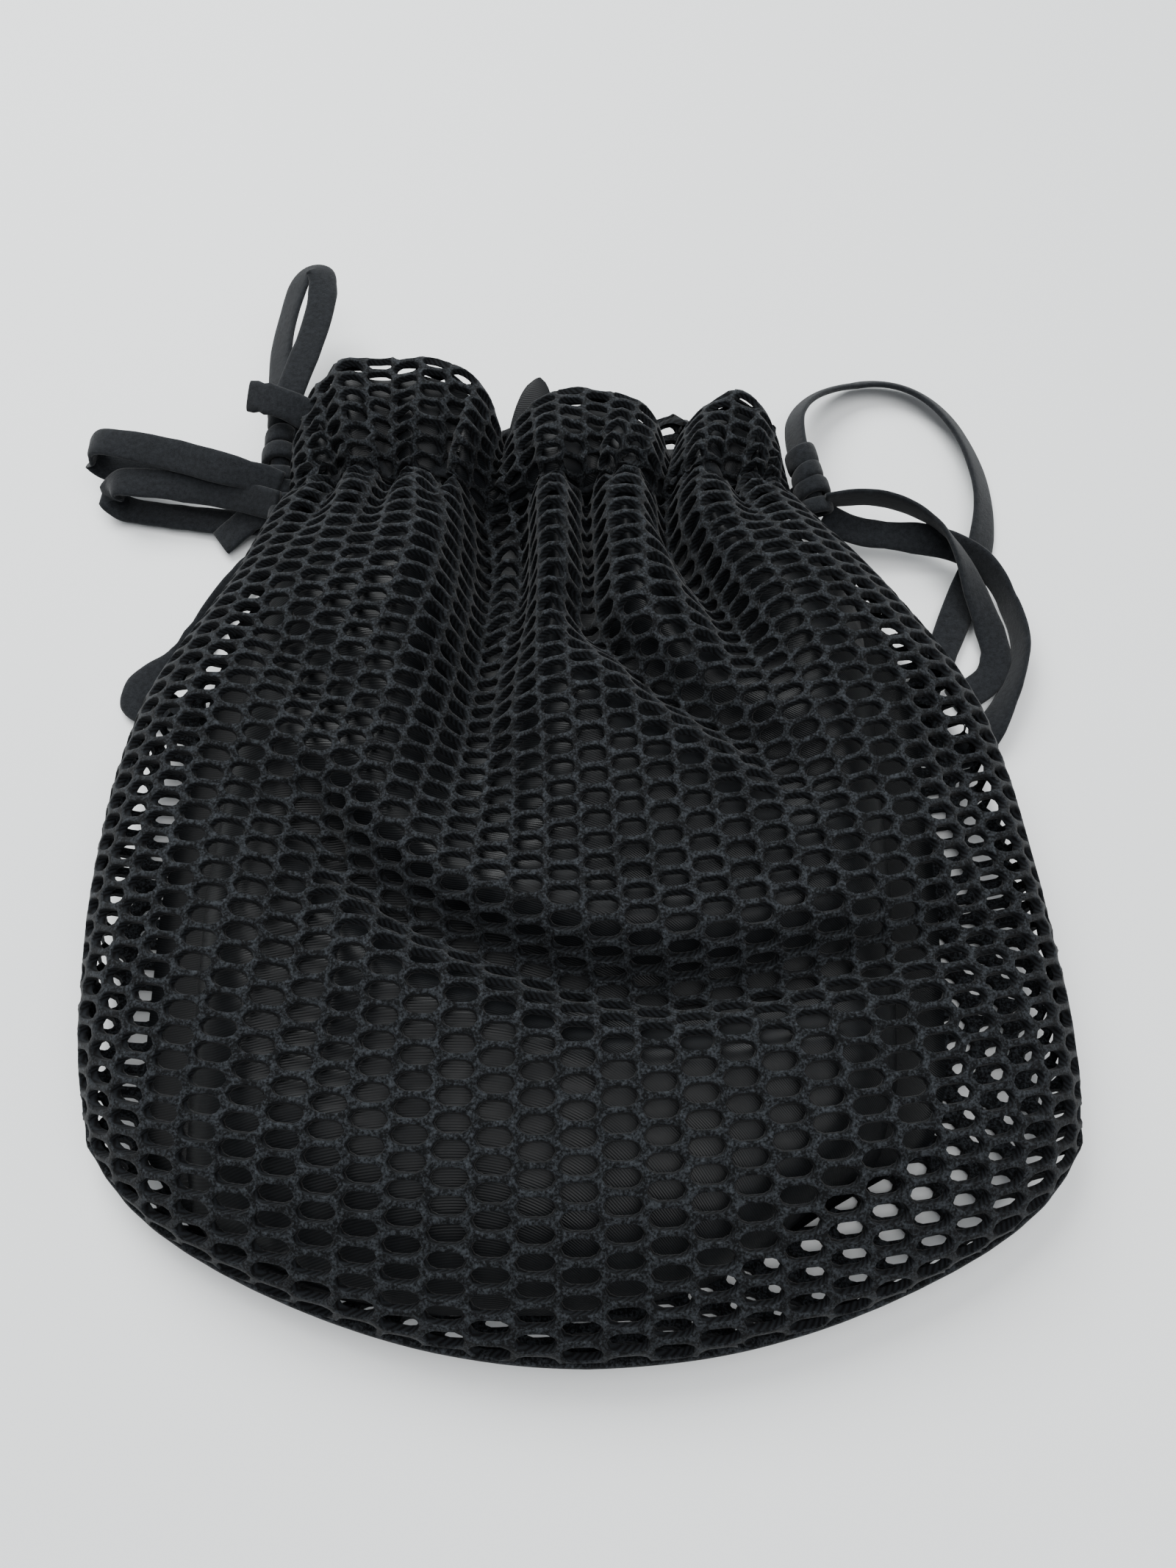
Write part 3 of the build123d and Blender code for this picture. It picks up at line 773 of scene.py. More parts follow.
def back_height(x, y):
    """Height of the back cloth's middle: flat on the table, rising to the seam."""
    left, right = edges_at(y)
    centre, half = (left + right) / 2, (right - left) / 2
    share = np.clip((x - centre) / half, -1, 1)
    side = np.minimum(x - left, right - x)
    low = y - bottom_at(share)
    rise = rounding(side, BACK_SIDE_RADIUS) * rounding(low, BACK_BOTTOM_RADIUS)
    lift = np.interp(y, BACK_LIFT_Y, BACK_LIFT)
    return (SEAM_Z - 1.5) * (1 - rise) + BACK_MIDDLE * rise + lift * rise


# %% Both guide surfaces: a grid from the bottom edge to the frill's rolled edge
COLUMNS, BODY_ROWS, FRILL_ROWS, ROLL_ROWS = 151, 126, 22, 7
HANG_AT, HANG_REACH = 4.0, 22.0      # the frill's middle lobe tips forward about here
HANG_FORWARD, HANG_UP = 4.5, 2.5
PLEATS = 9
ROW_CROWDING = 0.93          # rows crowd a little towards the neck
FRILL_EASE = 1.15
FRILL_FORWARD, FRILL_UP = 3.0, 4.5
HEM_RADIUS, HEM_STEP = 2.0, 2.5
LOWEST_MIDDLE = 1.9          # the cloth's middle never comes nearer to the table


def body_rows(front):
    """Rows of places from the bottom edge to the neck."""
    share = np.sin(np.linspace(-1, 1, COLUMNS) * math.pi / 2)
    rows = []
    for step in np.linspace(0, 1, BODY_ROWS) ** ROW_CROWDING:
        bottom = bottom_at(share)
        y = bottom + (NECK_Y - bottom) * step
        left, right = edges_at(y)
        x = (left + right) / 2 + (right - left) / 2 * share
        z = front_height(x, y) if front else back_height(x, y)
        rows.append(np.column_stack([x, y, z]))
    return rows


def frill_edge(front, neck, across):
    """The frill's upper edge, smoothed along its length."""
    edge_share = np.linspace(0, 1, len(FRILL_EDGE))
    tip = np.column_stack([np.interp(across, edge_share, FRILL_EDGE[:, k]) for k in range(3)])
    if not front:
        tip[:, 0] = neck[:, 0]
        tip[:, 1] = 149 - 2.5 * np.cos(across * 9 * math.pi) - 5 * np.abs(2 * across - 1) ** 4
        tip[:, 2] = 5.5 + 3.5 * np.cos(across * 13 * math.pi) + 6 * np.abs(2 * across - 1) ** 3
    kernel = np.ones(5) / 5
    for k in range(3):
        padded = np.pad(tip[:, k], 2, mode="edge")
        tip[:, k] = np.convolve(padded, kernel, "valid")
    return tip


def frill_rows(front, neck, tip, across):
    """Rows from the neck to the frill's edge, puffed out between them."""
    wave = np.sin(across * PLEATS * 2 * math.pi + 0.8 * np.sin(across * 7))
    fade = np.clip(np.minimum(across, 1 - across) * 12, 0, 1)
    hanging = np.exp(-((tip[:, 0] - HANG_AT) / HANG_REACH) ** 2)
    rows = []
    for step in np.linspace(0, 1, FRILL_ROWS + 1)[1:]:
        ease = step ** FRILL_EASE
        row = neck * (1 - ease) + tip * ease
        puff = math.sin(step * math.pi)
        row[:, 2] += wave * fade * puff ** 0.7
        if front:
            row[:, 2] += ((FRILL_UP + HANG_UP * hanging) * puff
                          + (1 - step) * crumple(row[:, 0], row[:, 1])) * fade
            row[:, 1] -= (FRILL_FORWARD + HANG_FORWARD * hanging) * fade * puff
        rows.append(row)
    return rows


def hem_rows(before, last, front):
    """Rows that roll the frill's edge over and tuck it in."""
    direction = unit(last - before)
    down = np.array([0, 0.35, -1.0]) if front else np.array([0, 0.2, 1.0])
    down = down / np.linalg.norm(down)
    rows = [last + direction * HEM_RADIUS * math.sin(angle)
            + down * HEM_RADIUS * (1 - math.cos(angle))
            for angle in np.linspace(0, math.pi, ROLL_ROWS)[1:]]
    rows.append(rows[-1] - direction * HEM_STEP)
    rows.append(rows[-1] - direction * HEM_STEP)
    return rows


def surface_grid(front):
    """Grid of places (row, column) for one side of the bag, in millimetres."""
    rows = body_rows(front)
    neck = rows[-1]
    across = (neck[:, 0] - neck[0, 0]) / (neck[-1, 0] - neck[0, 0])
    rows += frill_rows(front, neck, frill_edge(front, neck, across), across)
    rows += hem_rows(rows[-2], rows[-1], front)
    grid = np.array(rows)
    grid[..., 2] = np.maximum(grid[..., 2], LOWEST_MIDDLE)
    return grid


front_grid = surface_grid(True)
back_grid = surface_grid(False)
print("front guide", front_grid.shape, "z", front_grid[..., 2].min(), front_grid[..., 2].max())

# %% [markdown]
# ## Flatten the cloth
# Real mesh is made flat and its holes are all alike. If the holes were laid straight on the
# folded surface from above, they would stretch down every slope. So the guide surface is
# first unwrapped, as a dressmaker flattens a pattern, keeping distances as true as it can.
# Holes laid out evenly on that flat pattern and carried back keep their size on every slope,
# and crowd together in the pleats as they do on a real bag.

# %% Unwrap a guide surface at true size
UNWRAP_ROUNDS = 8
FLAT_SPAN = 0.6     # metres of cloth that the unit square of the flat pattern covers
BODY_PART = slice(10, 120)                       # rows well inside the body
SPINE_LOW, SPINE_MIDDLE, SPINE_HIGH = 30, 60, 110    # rows that say which way is up
BACK_SHIFT = (2.6, 1.7)      # so that the holes of front and back don't line up


def guide_object(name, grid, shift=(0, 0)):
    """A grid of places, in millimetres, as a mesh with its cloth laid flat as a UV map."""
    count, wide = grid.shape[:2]
    faces = [(r * wide + c, r * wide + c + 1, (r + 1) * wide + c + 1, (r + 1) * wide + c)
             for r in range(count - 1) for c in range(wide - 1)]
    guide = mesh_piece(name, grid.reshape(-1, 3) * MM, faces)
    mesh = guide.data
    bpy.context.view_layer.objects.active = guide
    guide.select_set(True)
    bpy.ops.object.mode_set(mode="EDIT")
    bpy.ops.mesh.select_all(action="SELECT")
    bpy.ops.uv.unwrap(method="MINIMUM_STRETCH", iterations=UNWRAP_ROUNDS, no_flip=True, margin=0.0)
    bpy.ops.object.mode_set(mode="OBJECT")
    layer = mesh.uv_layers[0]
    layer.name = "flat"
    corners = np.array([l.vertex_index for l in mesh.loops])
    uv = np.zeros(len(corners) * 2)
    layer.data.foreach_get("uv", uv)
    uv = uv.reshape(-1, 2)
    flat = np.zeros((count * wide, 2))
    flat[corners] = uv
    flat = fit_flat(flat.reshape(count, wide, 2), grid * MM) + np.array(shift) * MM
    layer.data.foreach_set("uv", (flat.reshape(-1, 2)[corners] / FLAT_SPAN + 0.5).ravel())
    guide.select_set(False)
    return guide, flat


def quad_areas(places):
    """Area of each quad of a grid of places."""
    across = places[1:, 1:] - places[:-1, :-1]
    down = places[1:, :-1] - places[:-1, 1:]
    if places.shape[-1] == 2:
        return 0.5 * np.abs(across[..., 0] * down[..., 1] - across[..., 1] * down[..., 0])
    return 0.5 * np.linalg.norm(np.cross(across, down), axis=-1)


def fit_flat(flat, places):
    """Scale the flat pattern to the cloth's own area, and stand it upright and centred."""
    flat = flat - flat.mean(axis=(0, 1))
    scale = math.sqrt(quad_areas(places[BODY_PART]).sum() / quad_areas(flat[BODY_PART]).sum())
    flat = flat * scale
    middle = flat.shape[1] // 2
    spine = flat[SPINE_HIGH, middle] - flat[SPINE_LOW, middle]
    turn = math.pi / 2 - math.atan2(spine[1], spine[0])
    flat = flat @ np.array([[math.cos(turn), math.sin(turn)], [-math.sin(turn), math.cos(turn)]])
    if flat[SPINE_MIDDLE, -1, 0] < flat[SPINE_MIDDLE, 0, 0]:
        flat[..., 0] *= -1
    return flat - flat[SPINE_MIDDLE, middle]


front_guide, front_flat = guide_object("front_guide", front_grid)
back_guide, back_flat = guide_object("back_guide", back_grid, BACK_SHIFT)

# %% [markdown]
# ## One hole of the mesh
# The cloth has an outer knitted face with wide rounded holes, an inner face with slightly
# smaller ones, and upright spacer threads between them. One hole and half of the ribs
# around it repeat in a brick pattern. It is kept to sixty faces, since it repeats more than
# a thousand times. The attribute "depth" runs from 1 on the outer face to -1 on the inner, so
# that the shader can paint the yarn's face lighter, as if lit, and the hole's wall with its
# spacer threads darker, as painted shade.

# %% Build the repeating cell
CELL_WIDTH, CELL_HEIGHT = 9.9, 6.15
NESTING = 1.15       # how far a hole's ends reach between its neighbours' ends
CLOTH_HALF = 1.15
HOLE_HALF = (4.95, 2.45)
BACK_HOLE_SHARE_FOR_SHADE = 0.80     # the back's holes are made smaller so less lit table shows through: a stand-in for the shade under the bag
VALLEY_SHARE = 0.93      # the yarn is a little thinner between two holes than at a hole's rim
# Each ring of a hole: its size, its level and its depth mark, as shares.
HOLE_RINGS = ((1.0, 1.0, 1.0), (0.965, 0.7, 0.8), (0.93, -0.75, -0.8), (0.86, -1.0, -1.0))


def mesh_cell(name, openness):
    """One hole with its share of the ribs, centred and lying flat."""
    half_w, half_h = CELL_WIDTH / 2, CELL_HEIGHT / 2
    far, near = half_w + NESTING, half_w - NESTING
    border = [(far, 0), (near, half_h), (near * 0.5, half_h), (0, half_h),
              (-near * 0.5, half_h), (-near, half_h), (-far, 0), (-near, -half_h),
              (-near * 0.5, -half_h), (0, -half_h), (near * 0.5, -half_h), (near, -half_h)]
    hole = [(1.0, 0), (0.82, 0.66), (0.48, 0.98), (0, 1.0), (-0.48, 0.98), (-0.82, 0.66),
            (-1.0, 0), (-0.82, -0.66), (-0.48, -0.98), (0, -1.0), (0.48, -0.98),
            (0.82, -0.66)]
    rings = [(border, CLOTH_HALF * VALLEY_SHARE, 1.0)]
    for grow, level, depth in HOLE_RINGS:
        half_x, half_y = HOLE_HALF[0] * openness * grow, HOLE_HALF[1] * openness * grow
        rings.append(([(x * half_x, y * half_y) for x, y in hole], CLOTH_HALF * level, depth))
    rings.append((border, -CLOTH_HALF * VALLEY_SHARE, -1.0))
    sides = len(border)
    rows = [(x * MM, y * MM, z * MM) for ring, z, _ in rings for x, y in ring]
    depths = [depth for _, _, depth in rings for _ in range(sides)]
    faces = [(r * sides + j, r * sides + (j + 1) % sides, (r + 1) * sides + (j + 1) % sides,
              (r + 1) * sides + j) for r in range(len(rings) - 1) for j in range(sides)]
    cell = mesh_piece(name, rows, faces)
    attribute = cell.data.attributes.new("depth", "FLOAT", "POINT")
    attribute.data.foreach_set("value", depths)
    return cell


front_cell = mesh_cell("front_cell", 1.0)
# The back's smaller holes stand in for the shade on the table under the bag.
back_cell = mesh_cell("back_cell", BACK_HOLE_SHARE_FOR_SHADE)
print("faces in a cell:", len(front_cell.data.polygons))

# %% [markdown]
# ## Lay the mesh with Geometry Nodes
# The tree makes a brick pattern of points on the flat cloth, drops those off the pattern,
# puts a cell on each, and carries every vertex back to the folded surface: Sample UV Surface
# looks up the place and the normal at the vertex's flat position, and the vertex's own height
# is measured along that normal.

# %% The mesh-laying tree


def knit_tree(material):
    tree = bpy.data.node_groups.new("lay_honeycomb", "GeometryNodeTree")
    face = tree.interface
    face.new_socket("Geometry", in_out="INPUT", socket_type="NodeSocketGeometry")
    for label, kind, default in (
            ("Cell", "NodeSocketObject", None), ("Cell Width", "NodeSocketFloat", 0.01),
            ("Cell Height", "NodeSocketFloat", 0.006), ("Columns", "NodeSocketInt", 40),
            ("Rows", "NodeSocketInt", 60), ("Flat Span", "NodeSocketFloat", 0.5),
            ("Unevenness", "NodeSocketFloat", 0.0), ("Seed", "NodeSocketInt", 1)):
        socket = face.new_socket(label, in_out="INPUT", socket_type=kind)
        if default is not None:
            socket.default_value = default
    face.new_socket("Geometry", in_out="OUTPUT", socket_type="NodeSocketGeometry")
    given = tree.nodes.new("NodeGroupInput")
    result = tree.nodes.new("NodeGroupOutput")

    def node(kind, links=(), values=(), **settings):
        made = add_node(tree, kind, values, **settings)
        for key, source in dict(links).items():
            wire(tree, source, made.inputs[key])
        return made

    def math_node(operation, *parts):
        made = add_node(tree, "ShaderNodeMath", operation=operation)
        for k, value in enumerate(parts):
            if isinstance(value, (int, float)):
                made.inputs[k].default_value = value
            else:
                wire(tree, value, made.inputs[k])
        return made.outputs[0]

    columns, rows = given.outputs["Columns"], given.outputs["Rows"]
    width, height = given.outputs["Cell Width"], given.outputs["Cell Height"]
    count = math_node("MULTIPLY", columns, rows)
    points = node("GeometryNodePoints", {"Count": count})
    index = node("GeometryNodeInputIndex").outputs[0]
    column = math_node("FLOOR", math_node("DIVIDE", index, rows))
    row = math_node("SUBTRACT", index, math_node("MULTIPLY", column, rows))
    offset = math_node("MULTIPLY", math_node("FLOORED_MODULO", column, 2.0), 0.5)
    flat_x = math_node("MULTIPLY", math_node(
        "SUBTRACT", column, math_node("MULTIPLY", columns, 0.5)), width)
    flat_y = math_node("MULTIPLY", math_node(
        "SUBTRACT", math_node("ADD", row, offset), math_node("MULTIPLY", rows, 0.5)), height)
    spot = node("ShaderNodeCombineXYZ", {"X": flat_x, "Y": flat_y})
    placed = node("GeometryNodeSetPosition",
                  {"Geometry": points.outputs[0], "Position": spot.outputs[0]})

    def sample(value):
        """Read a value of the guide surface at this vertex's flat position."""
        position = node("GeometryNodeInputPosition").outputs[0]
        scaled = node("ShaderNodeVectorMath", {0: position}, operation="SCALE")
        wire(tree, math_node("DIVIDE", 1.0, given.outputs["Flat Span"]), scaled.inputs["Scale"])
        shifted = node("ShaderNodeVectorMath", {0: scaled.outputs[0]}, {1: (0.5, 0.5, 0)},
                       operation="ADD")
        uv = node("GeometryNodeInputNamedAttribute", values={"Name": "flat"},
                  data_type="FLOAT_VECTOR")
        look = node("GeometryNodeSampleUVSurface", data_type="FLOAT_VECTOR")
        wire(tree, given.outputs["Geometry"], look.inputs["Mesh"])
        wire(tree, value, look.inputs["Value"])
        wire(tree, uv.outputs["Attribute"], look.inputs["Source UV Map"])
        wire(tree, shifted.outputs[0], look.inputs["Sample UV"])
        return look

    def without_missed(geometry, found):
        missed = node("FunctionNodeBooleanMath", {0: found}, operation="NOT")
        return node("GeometryNodeDeleteGeometry",
                    {"Geometry": geometry, "Selection": missed.outputs[0]}).outputs[0]

    surface_position = node("GeometryNodeInputPosition").outputs[0]
    surface_normal = node("GeometryNodeInputNormal").outputs[0]
    on_cloth = without_missed(placed.outputs[0], sample(surface_position).outputs["Is Valid"])
    shape = node("GeometryNodeObjectInfo", {"Object": given.outputs["Cell"]})
    cells = node("GeometryNodeInstanceOnPoints",
                 {"Points": on_cloth, "Instance": shape.outputs["Geometry"]})
    real = node("GeometryNodeRealizeInstances", {"Geometry": cells.outputs[0]})
    position = node("GeometryNodeInputPosition").outputs[0]
    split = node("ShaderNodeSeparateXYZ", {0: position})
    where, normal = sample(surface_position), sample(surface_normal)
    kept = node("GeometryNodeStoreNamedAttribute",
                {"Geometry": real.outputs[0], "Value": where.outputs["Is Valid"]},
                {"Name": "found"}, data_type="BOOLEAN", domain="POINT")
    flat_place = node("GeometryNodeStoreNamedAttribute",
                      {"Geometry": kept.outputs[0], "Value": position},
                      {"Name": "cloth_place"}, data_type="FLOAT_VECTOR", domain="POINT")
    noise = node("ShaderNodeTexNoise", {"Vector": position, "W": given.outputs["Seed"]},
                 {"Scale": 160.0, "Detail": 1.0}, noise_dimensions="4D")
    unit_normal = node("ShaderNodeVectorMath", {0: normal.outputs[0]}, operation="NORMALIZE")
    rise = math_node("ADD", split.outputs["Z"], math_node(
        "MULTIPLY", math_node("SUBTRACT", noise.outputs["Fac"], 0.5),
        given.outputs["Unevenness"]))
    lifted = node("ShaderNodeVectorMath", {0: unit_normal.outputs[0]}, operation="SCALE")
    wire(tree, rise, lifted.inputs["Scale"])
    goal = node("ShaderNodeVectorMath", {0: where.outputs[0], 1: lifted.outputs[0]},
                operation="ADD")
    laid = node("GeometryNodeSetPosition",
                {"Geometry": flat_place.outputs[0], "Position": goal.outputs[0]})
    found = node("GeometryNodeInputNamedAttribute", values={"Name": "found"},
                 data_type="BOOLEAN")
    trimmed = without_missed(laid.outputs[0], found.outputs["Attribute"])
    smooth = node("GeometryNodeSetShadeSmooth", {"Geometry": trimmed})
    final = node("GeometryNodeRealizeInstances", {"Geometry": smooth.outputs[0]})
    painted = node("GeometryNodeSetMaterial", {"Geometry": final.outputs[0]},
                   {"Material": material})
    wire(tree, painted.outputs[0], result.inputs[0])
    return tree


# %% [markdown]
# ## Material: honeycomb mesh
# Knitted polyester yarn: dark slate, matt, with a little sheen from its loose fibre. The
# outer face is painted lightest, as if lit, and its light fibre flecks also stand in for
# painted sheen on lit rib tops; the wall of each hole is painted darker as painted shade in
# the hole, with pale upright spacer threads; the inner face is in shadow anyway and takes the same
# painted shade.

# %% Build the mesh material


def honeycomb_material():
    material, shader = new_material("honeycomb_mesh", 0.82)
    tree = material.node_tree
    place = add_node(tree, "ShaderNodeTexCoord").outputs["Object"]
    fibre = place_group(tree, LOOSE_FIBRE, place,
                        {"Fibre Scale": 1500.0, "Tuft Scale": 420.0, "Tuft Share": 0.35})
    depth = add_node(tree, "ShaderNodeAttribute", attribute_name="depth")
    # The outer face takes the lighter colour, painted as if lit; the hole's wall and the inner face
    # take the darker colour as painted shade.
    outer = add_node(tree, "ShaderNodeMapRange", {"From Min": 0.55, "From Max": 0.98})
    wire(tree, depth.outputs["Fac"], outer.inputs["Value"])
    cloth = add_node(tree, "ShaderNodeAttribute", attribute_name="cloth_place")
    stripe = add_node(tree, "ShaderNodeTexWave", {"Scale": 330.0, "Distortion": 1.2,
                                                  "Detail": 1.0}, wave_type="BANDS",
                      bands_direction="DIAGONAL")
    wire(tree, cloth.outputs["Vector"], stripe.inputs["Vector"])
    # Outer face: fibre flecks from dark to light; the light end also stands in for painted sheen on
    # lit rib tops.
    face = add_node(tree, "ShaderNodeMix", data_type="RGBA")
    face.inputs["A"].default_value = (0.0012, 0.0015, 0.0019, 1)
    face.inputs["B"].default_value = (0.0330, 0.0375, 0.0430, 1)
    fibre_and_sheen_flecks = add_node(tree, "ShaderNodeMapRange", {"From Min": 0.35, "From Max": 1.0})
    wire(tree, fibre.outputs["Flecks"], fibre_and_sheen_flecks.inputs["Value"])
    wire(tree, fibre_and_sheen_flecks.outputs["Result"], face.inputs["Factor"])
    # Hole wall and inner face: painted shade, striped by the spacer threads.
    shaded_wall = add_node(tree, "ShaderNodeMix", data_type="RGBA")
    shaded_wall.inputs["A"].default_value = (0.0008, 0.0009, 0.0012, 1)
    shaded_wall.inputs["B"].default_value = (0.0090, 0.0105, 0.0125, 1)
    wire(tree, stripe.outputs["Fac"], shaded_wall.inputs["Factor"])
    both = add_node(tree, "ShaderNodeMix", data_type="RGBA")
    wire(tree, outer.outputs["Result"], both.inputs["Factor"])
    wire(tree, shaded_wall.outputs["Result"], both.inputs["A"])
    wire(tree, face.outputs["Result"], both.inputs["B"])
    wire(tree, both.outputs["Result"], shader.inputs["Base Color"])
    bump_from(tree, fibre.outputs["Height"], 0.3 * MM, shader, 0.8)
    shader.inputs["Sheen Weight"].default_value = 0.06
    shader.inputs["Sheen Roughness"].default_value = 0.45
    shader.inputs["Specular IOR Level"].default_value = 0.12
    return material


HONEYCOMB = honeycomb_material()
LAY_HONEYCOMB = knit_tree(HONEYCOMB)

# %% Lay the mesh on each guide and keep it as plain mesh


def lay_mesh(guide, flat, cell, name, unevenness, seed):
    """Run the tree on a guide and return its mesh as a new plain object."""
    modifier = guide.modifiers.new("lay", "NODES")
    modifier.node_group = LAY_HONEYCOMB
    size = flat.reshape(-1, 2)
    columns = int(2 * np.abs(size[:, 0]).max() / (CELL_WIDTH * MM)) + 4
    rows = int(2 * np.abs(size[:, 1]).max() / (CELL_HEIGHT * MM)) + 4
    values = {"Cell": cell, "Cell Width": CELL_WIDTH * MM, "Cell Height": CELL_HEIGHT * MM,
              "Columns": columns + columns % 2, "Rows": rows, "Flat Span": FLAT_SPAN,
              "Unevenness": unevenness, "Seed": seed}
    for item in LAY_HONEYCOMB.interface.items_tree:
        if item.item_type == "SOCKET" and item.in_out == "INPUT" and item.name in values:
            modifier[item.identifier] = values[item.name]
    bpy.context.view_layer.update()
    evaluated = guide.evaluated_get(bpy.context.evaluated_depsgraph_get())
    mesh = bpy.data.meshes.new_from_object(evaluated)
    guide.modifiers.clear()
    mesh.name = name
    if not mesh.materials:
        mesh.materials.append(HONEYCOMB)
    piece = add_object(name, mesh)
    print(name, len(mesh.vertices), "vertices", len(mesh.polygons), "faces")
    return piece


front_cloth = lay_mesh(front_guide, front_flat, front_cell, "front_mesh_cloth", 0.5 * MM, 3)
back_cloth = lay_mesh(back_guide, back_flat, back_cell, "back_mesh_cloth", 0.3 * MM, 8)

# %% [markdown]
# ## The satin pouch
# Behind the mesh hangs a thin satin pouch, narrower than the bag. It lies against the inside
# of the mesh, but it bridges the narrow pleats that the thick cloth folds into. Taking the
# lowest nearby height of the mesh, less a gap, gives that bridge without a simulation.

# %% The pouch's outline and its front
POUCH_OUTLINE = np.array([   # y, x left, x right
    (-141, -32, 4), (-138, -54, 22), (-134, -72, 36), (-127, -87, 50), (-118, -95, 61),
    (-104, -99, 82), (-85, -100.5, 89), (-60, -102, 91.5), (-34, -103.5, 93), (8, -101.5, 94),
    (40, -101, 95), (67, -101, 95), (90, -97, 84), (104, -93, 75), (112, -90, 71)], float)
POUCH_COLUMNS = 121
BACK_SPARE = np.array([(-127, 0), (-112, 6), (-98, 13), (10, 14), (45, 11), (75, 3), (95, 0)],
                      float)     # y, how far the back panel reaches past the front one
POUCH_GAP = 3.4
POUCH_SEAM_Z = 10.5


def pouch_row(y, spare=0.0):
    """Places across the pouch at y."""
    share = np.linspace(0, 1, POUCH_COLUMNS)
    left = np.interp(y, POUCH_OUTLINE[:, 0], POUCH_OUTLINE[:, 1]) - spare
    right = np.interp(y, POUCH_OUTLINE[:, 0], POUCH_OUTLINE[:, 2]) + spare
    return left + (right - left) * share, np.full(POUCH_COLUMNS, y)


def pouch_edge_distance(x, y):
    """How far a place lies inside the pouch's outline."""
    left = np.interp(y, POUCH_OUTLINE[:, 0], POUCH_OUTLINE[:, 1])
    right = np.interp(y, POUCH_OUTLINE[:, 0], POUCH_OUTLINE[:, 2])
    low = y - POUCH_OUTLINE[0, 0]
    return np.minimum(np.minimum(x - left, right - x), low)


def pouch_front():
    """Grid of places of the front panel, from its bottom edge up into the frill."""
    rows = []
    for y in np.linspace(POUCH_OUTLINE[0, 0], NECK_Y, 112):
        x, ys = pouch_row(y)
        z = front_height(x, ys)
        for reach in (3.0, 5.5):
            for angle in np.linspace(0, 2 * math.pi, 8, endpoint=False):
                z = np.minimum(z, front_height(x + reach * math.cos(angle),
                                               ys + reach * math.sin(angle)))
        z = z - POUCH_GAP
        edge = pouch_edge_distance(x, ys)
        loose = 0.5 * np.sin(x * 0.21 + ys * 0.05) * np.sin(ys * 0.13 - x * 0.03)
        z = POUCH_SEAM_Z + (z + loose - POUCH_SEAM_Z) * rounding(edge, 24)
        rows.append(np.column_stack([x, ys, np.maximum(z, 6.5)]))
    neck_share = np.linspace(0.03, 0.97, POUCH_COLUMNS) * (COLUMNS - 1)
    for r in range(BODY_ROWS, BODY_ROWS + FRILL_ROWS - 1):
        source = front_grid[r]
        row = np.column_stack([np.interp(neck_share, np.arange(COLUMNS), source[:, k])
                               for k in range(3)])
        row[:, 2] = np.maximum(row[:, 2] - POUCH_GAP, 7.0)
        row[:, 1] -= 1.2
        rows.append(row)
    return np.array(rows)


def pouch_back():
    """Grid of places of the back panel, which lies wider than the front one."""
    rows = []
    for y in np.linspace(POUCH_OUTLINE[0, 0], 140, 60):
        spare = np.interp(y, BACK_SPARE[:, 0], BACK_SPARE[:, 1])
        x, ys = pouch_row(min(y, NECK_Y), spare)
        ys = np.full(POUCH_COLUMNS, y)
        edge = np.maximum(pouch_edge_distance(x, ys) + spare, 0)
        rise = rounding(np.minimum(edge, 30), 20)
        lift = np.interp(y, [85, 108, 140], [0, 2.2, 5.0])
        z = POUCH_SEAM_Z * (1 - rise) + (5.2 + lift) * rise
        rows.append(np.column_stack([x, ys, z]))
    return np.array(rows)


def smooth_grid(grid, rounds):
    """Average each inner place with its four neighbours."""
    for _ in range(rounds):
        inner = (grid[:-2, 1:-1] + grid[2:, 1:-1] + grid[1:-1, :-2] + grid[1:-1, 2:]) / 4
        grid[1:-1, 1:-1] = 0.5 * grid[1:-1, 1:-1] + 0.5 * inner
    return grid


print("pouch outline:", len(POUCH_OUTLINE), "rows, from y", POUCH_OUTLINE[0, 0], "to", NECK_Y)

# %% [markdown]
# ## Material: satin, and the pouch's panels
# Satin is smoother and thinner than the mesh, so it shows fine slanted lines and a soft
# gloss instead of loose fibre. Each panel carries its own cloth coordinates in metres, so
# that the lines keep their pitch whatever the panel's shape.

# %% Material: satin twill of the pouch


def satin_material():
    material, shader = new_material("satin_lining", 0.42)
    tree = material.node_tree
    cloth = add_node(tree, "ShaderNodeUVMap", uv_map="cloth").outputs["UV"]
    lines = place_group(tree, SLANTED_WEAVE, cloth, {"Line Pitch": 0.0007, "Slant": 0.35})
    fibre = place_group(tree, LOOSE_FIBRE, cloth,
                        {"Fibre Scale": 900.0, "Tuft Scale": 60.0, "Tuft Share": 0.7})
    mix = add_node(tree, "ShaderNodeMix", {"Factor": 0.45}, data_type="FLOAT")
    wire(tree, lines.outputs["Lines"], mix.inputs["A"])
    wire(tree, fibre.outputs["Flecks"], mix.inputs["B"])
    colour_between(tree, mix.outputs["Result"], (0.0022, 0.0026, 0.0031),
                   (0.0110, 0.0124, 0.0142), shader)
    gloss = add_node(tree, "ShaderNodeMapRange", {"To Min": 0.36, "To Max": 0.58})
    wire(tree, fibre.outputs["Flecks"], gloss.inputs["Value"])
    wire(tree, gloss.outputs["Result"], shader.inputs["Roughness"])
    bump_from(tree, lines.outputs["Lines"], 0.08 * MM, shader, 0.6)
    shader.inputs["Specular IOR Level"].default_value = 0.22
    return material


SATIN = satin_material()


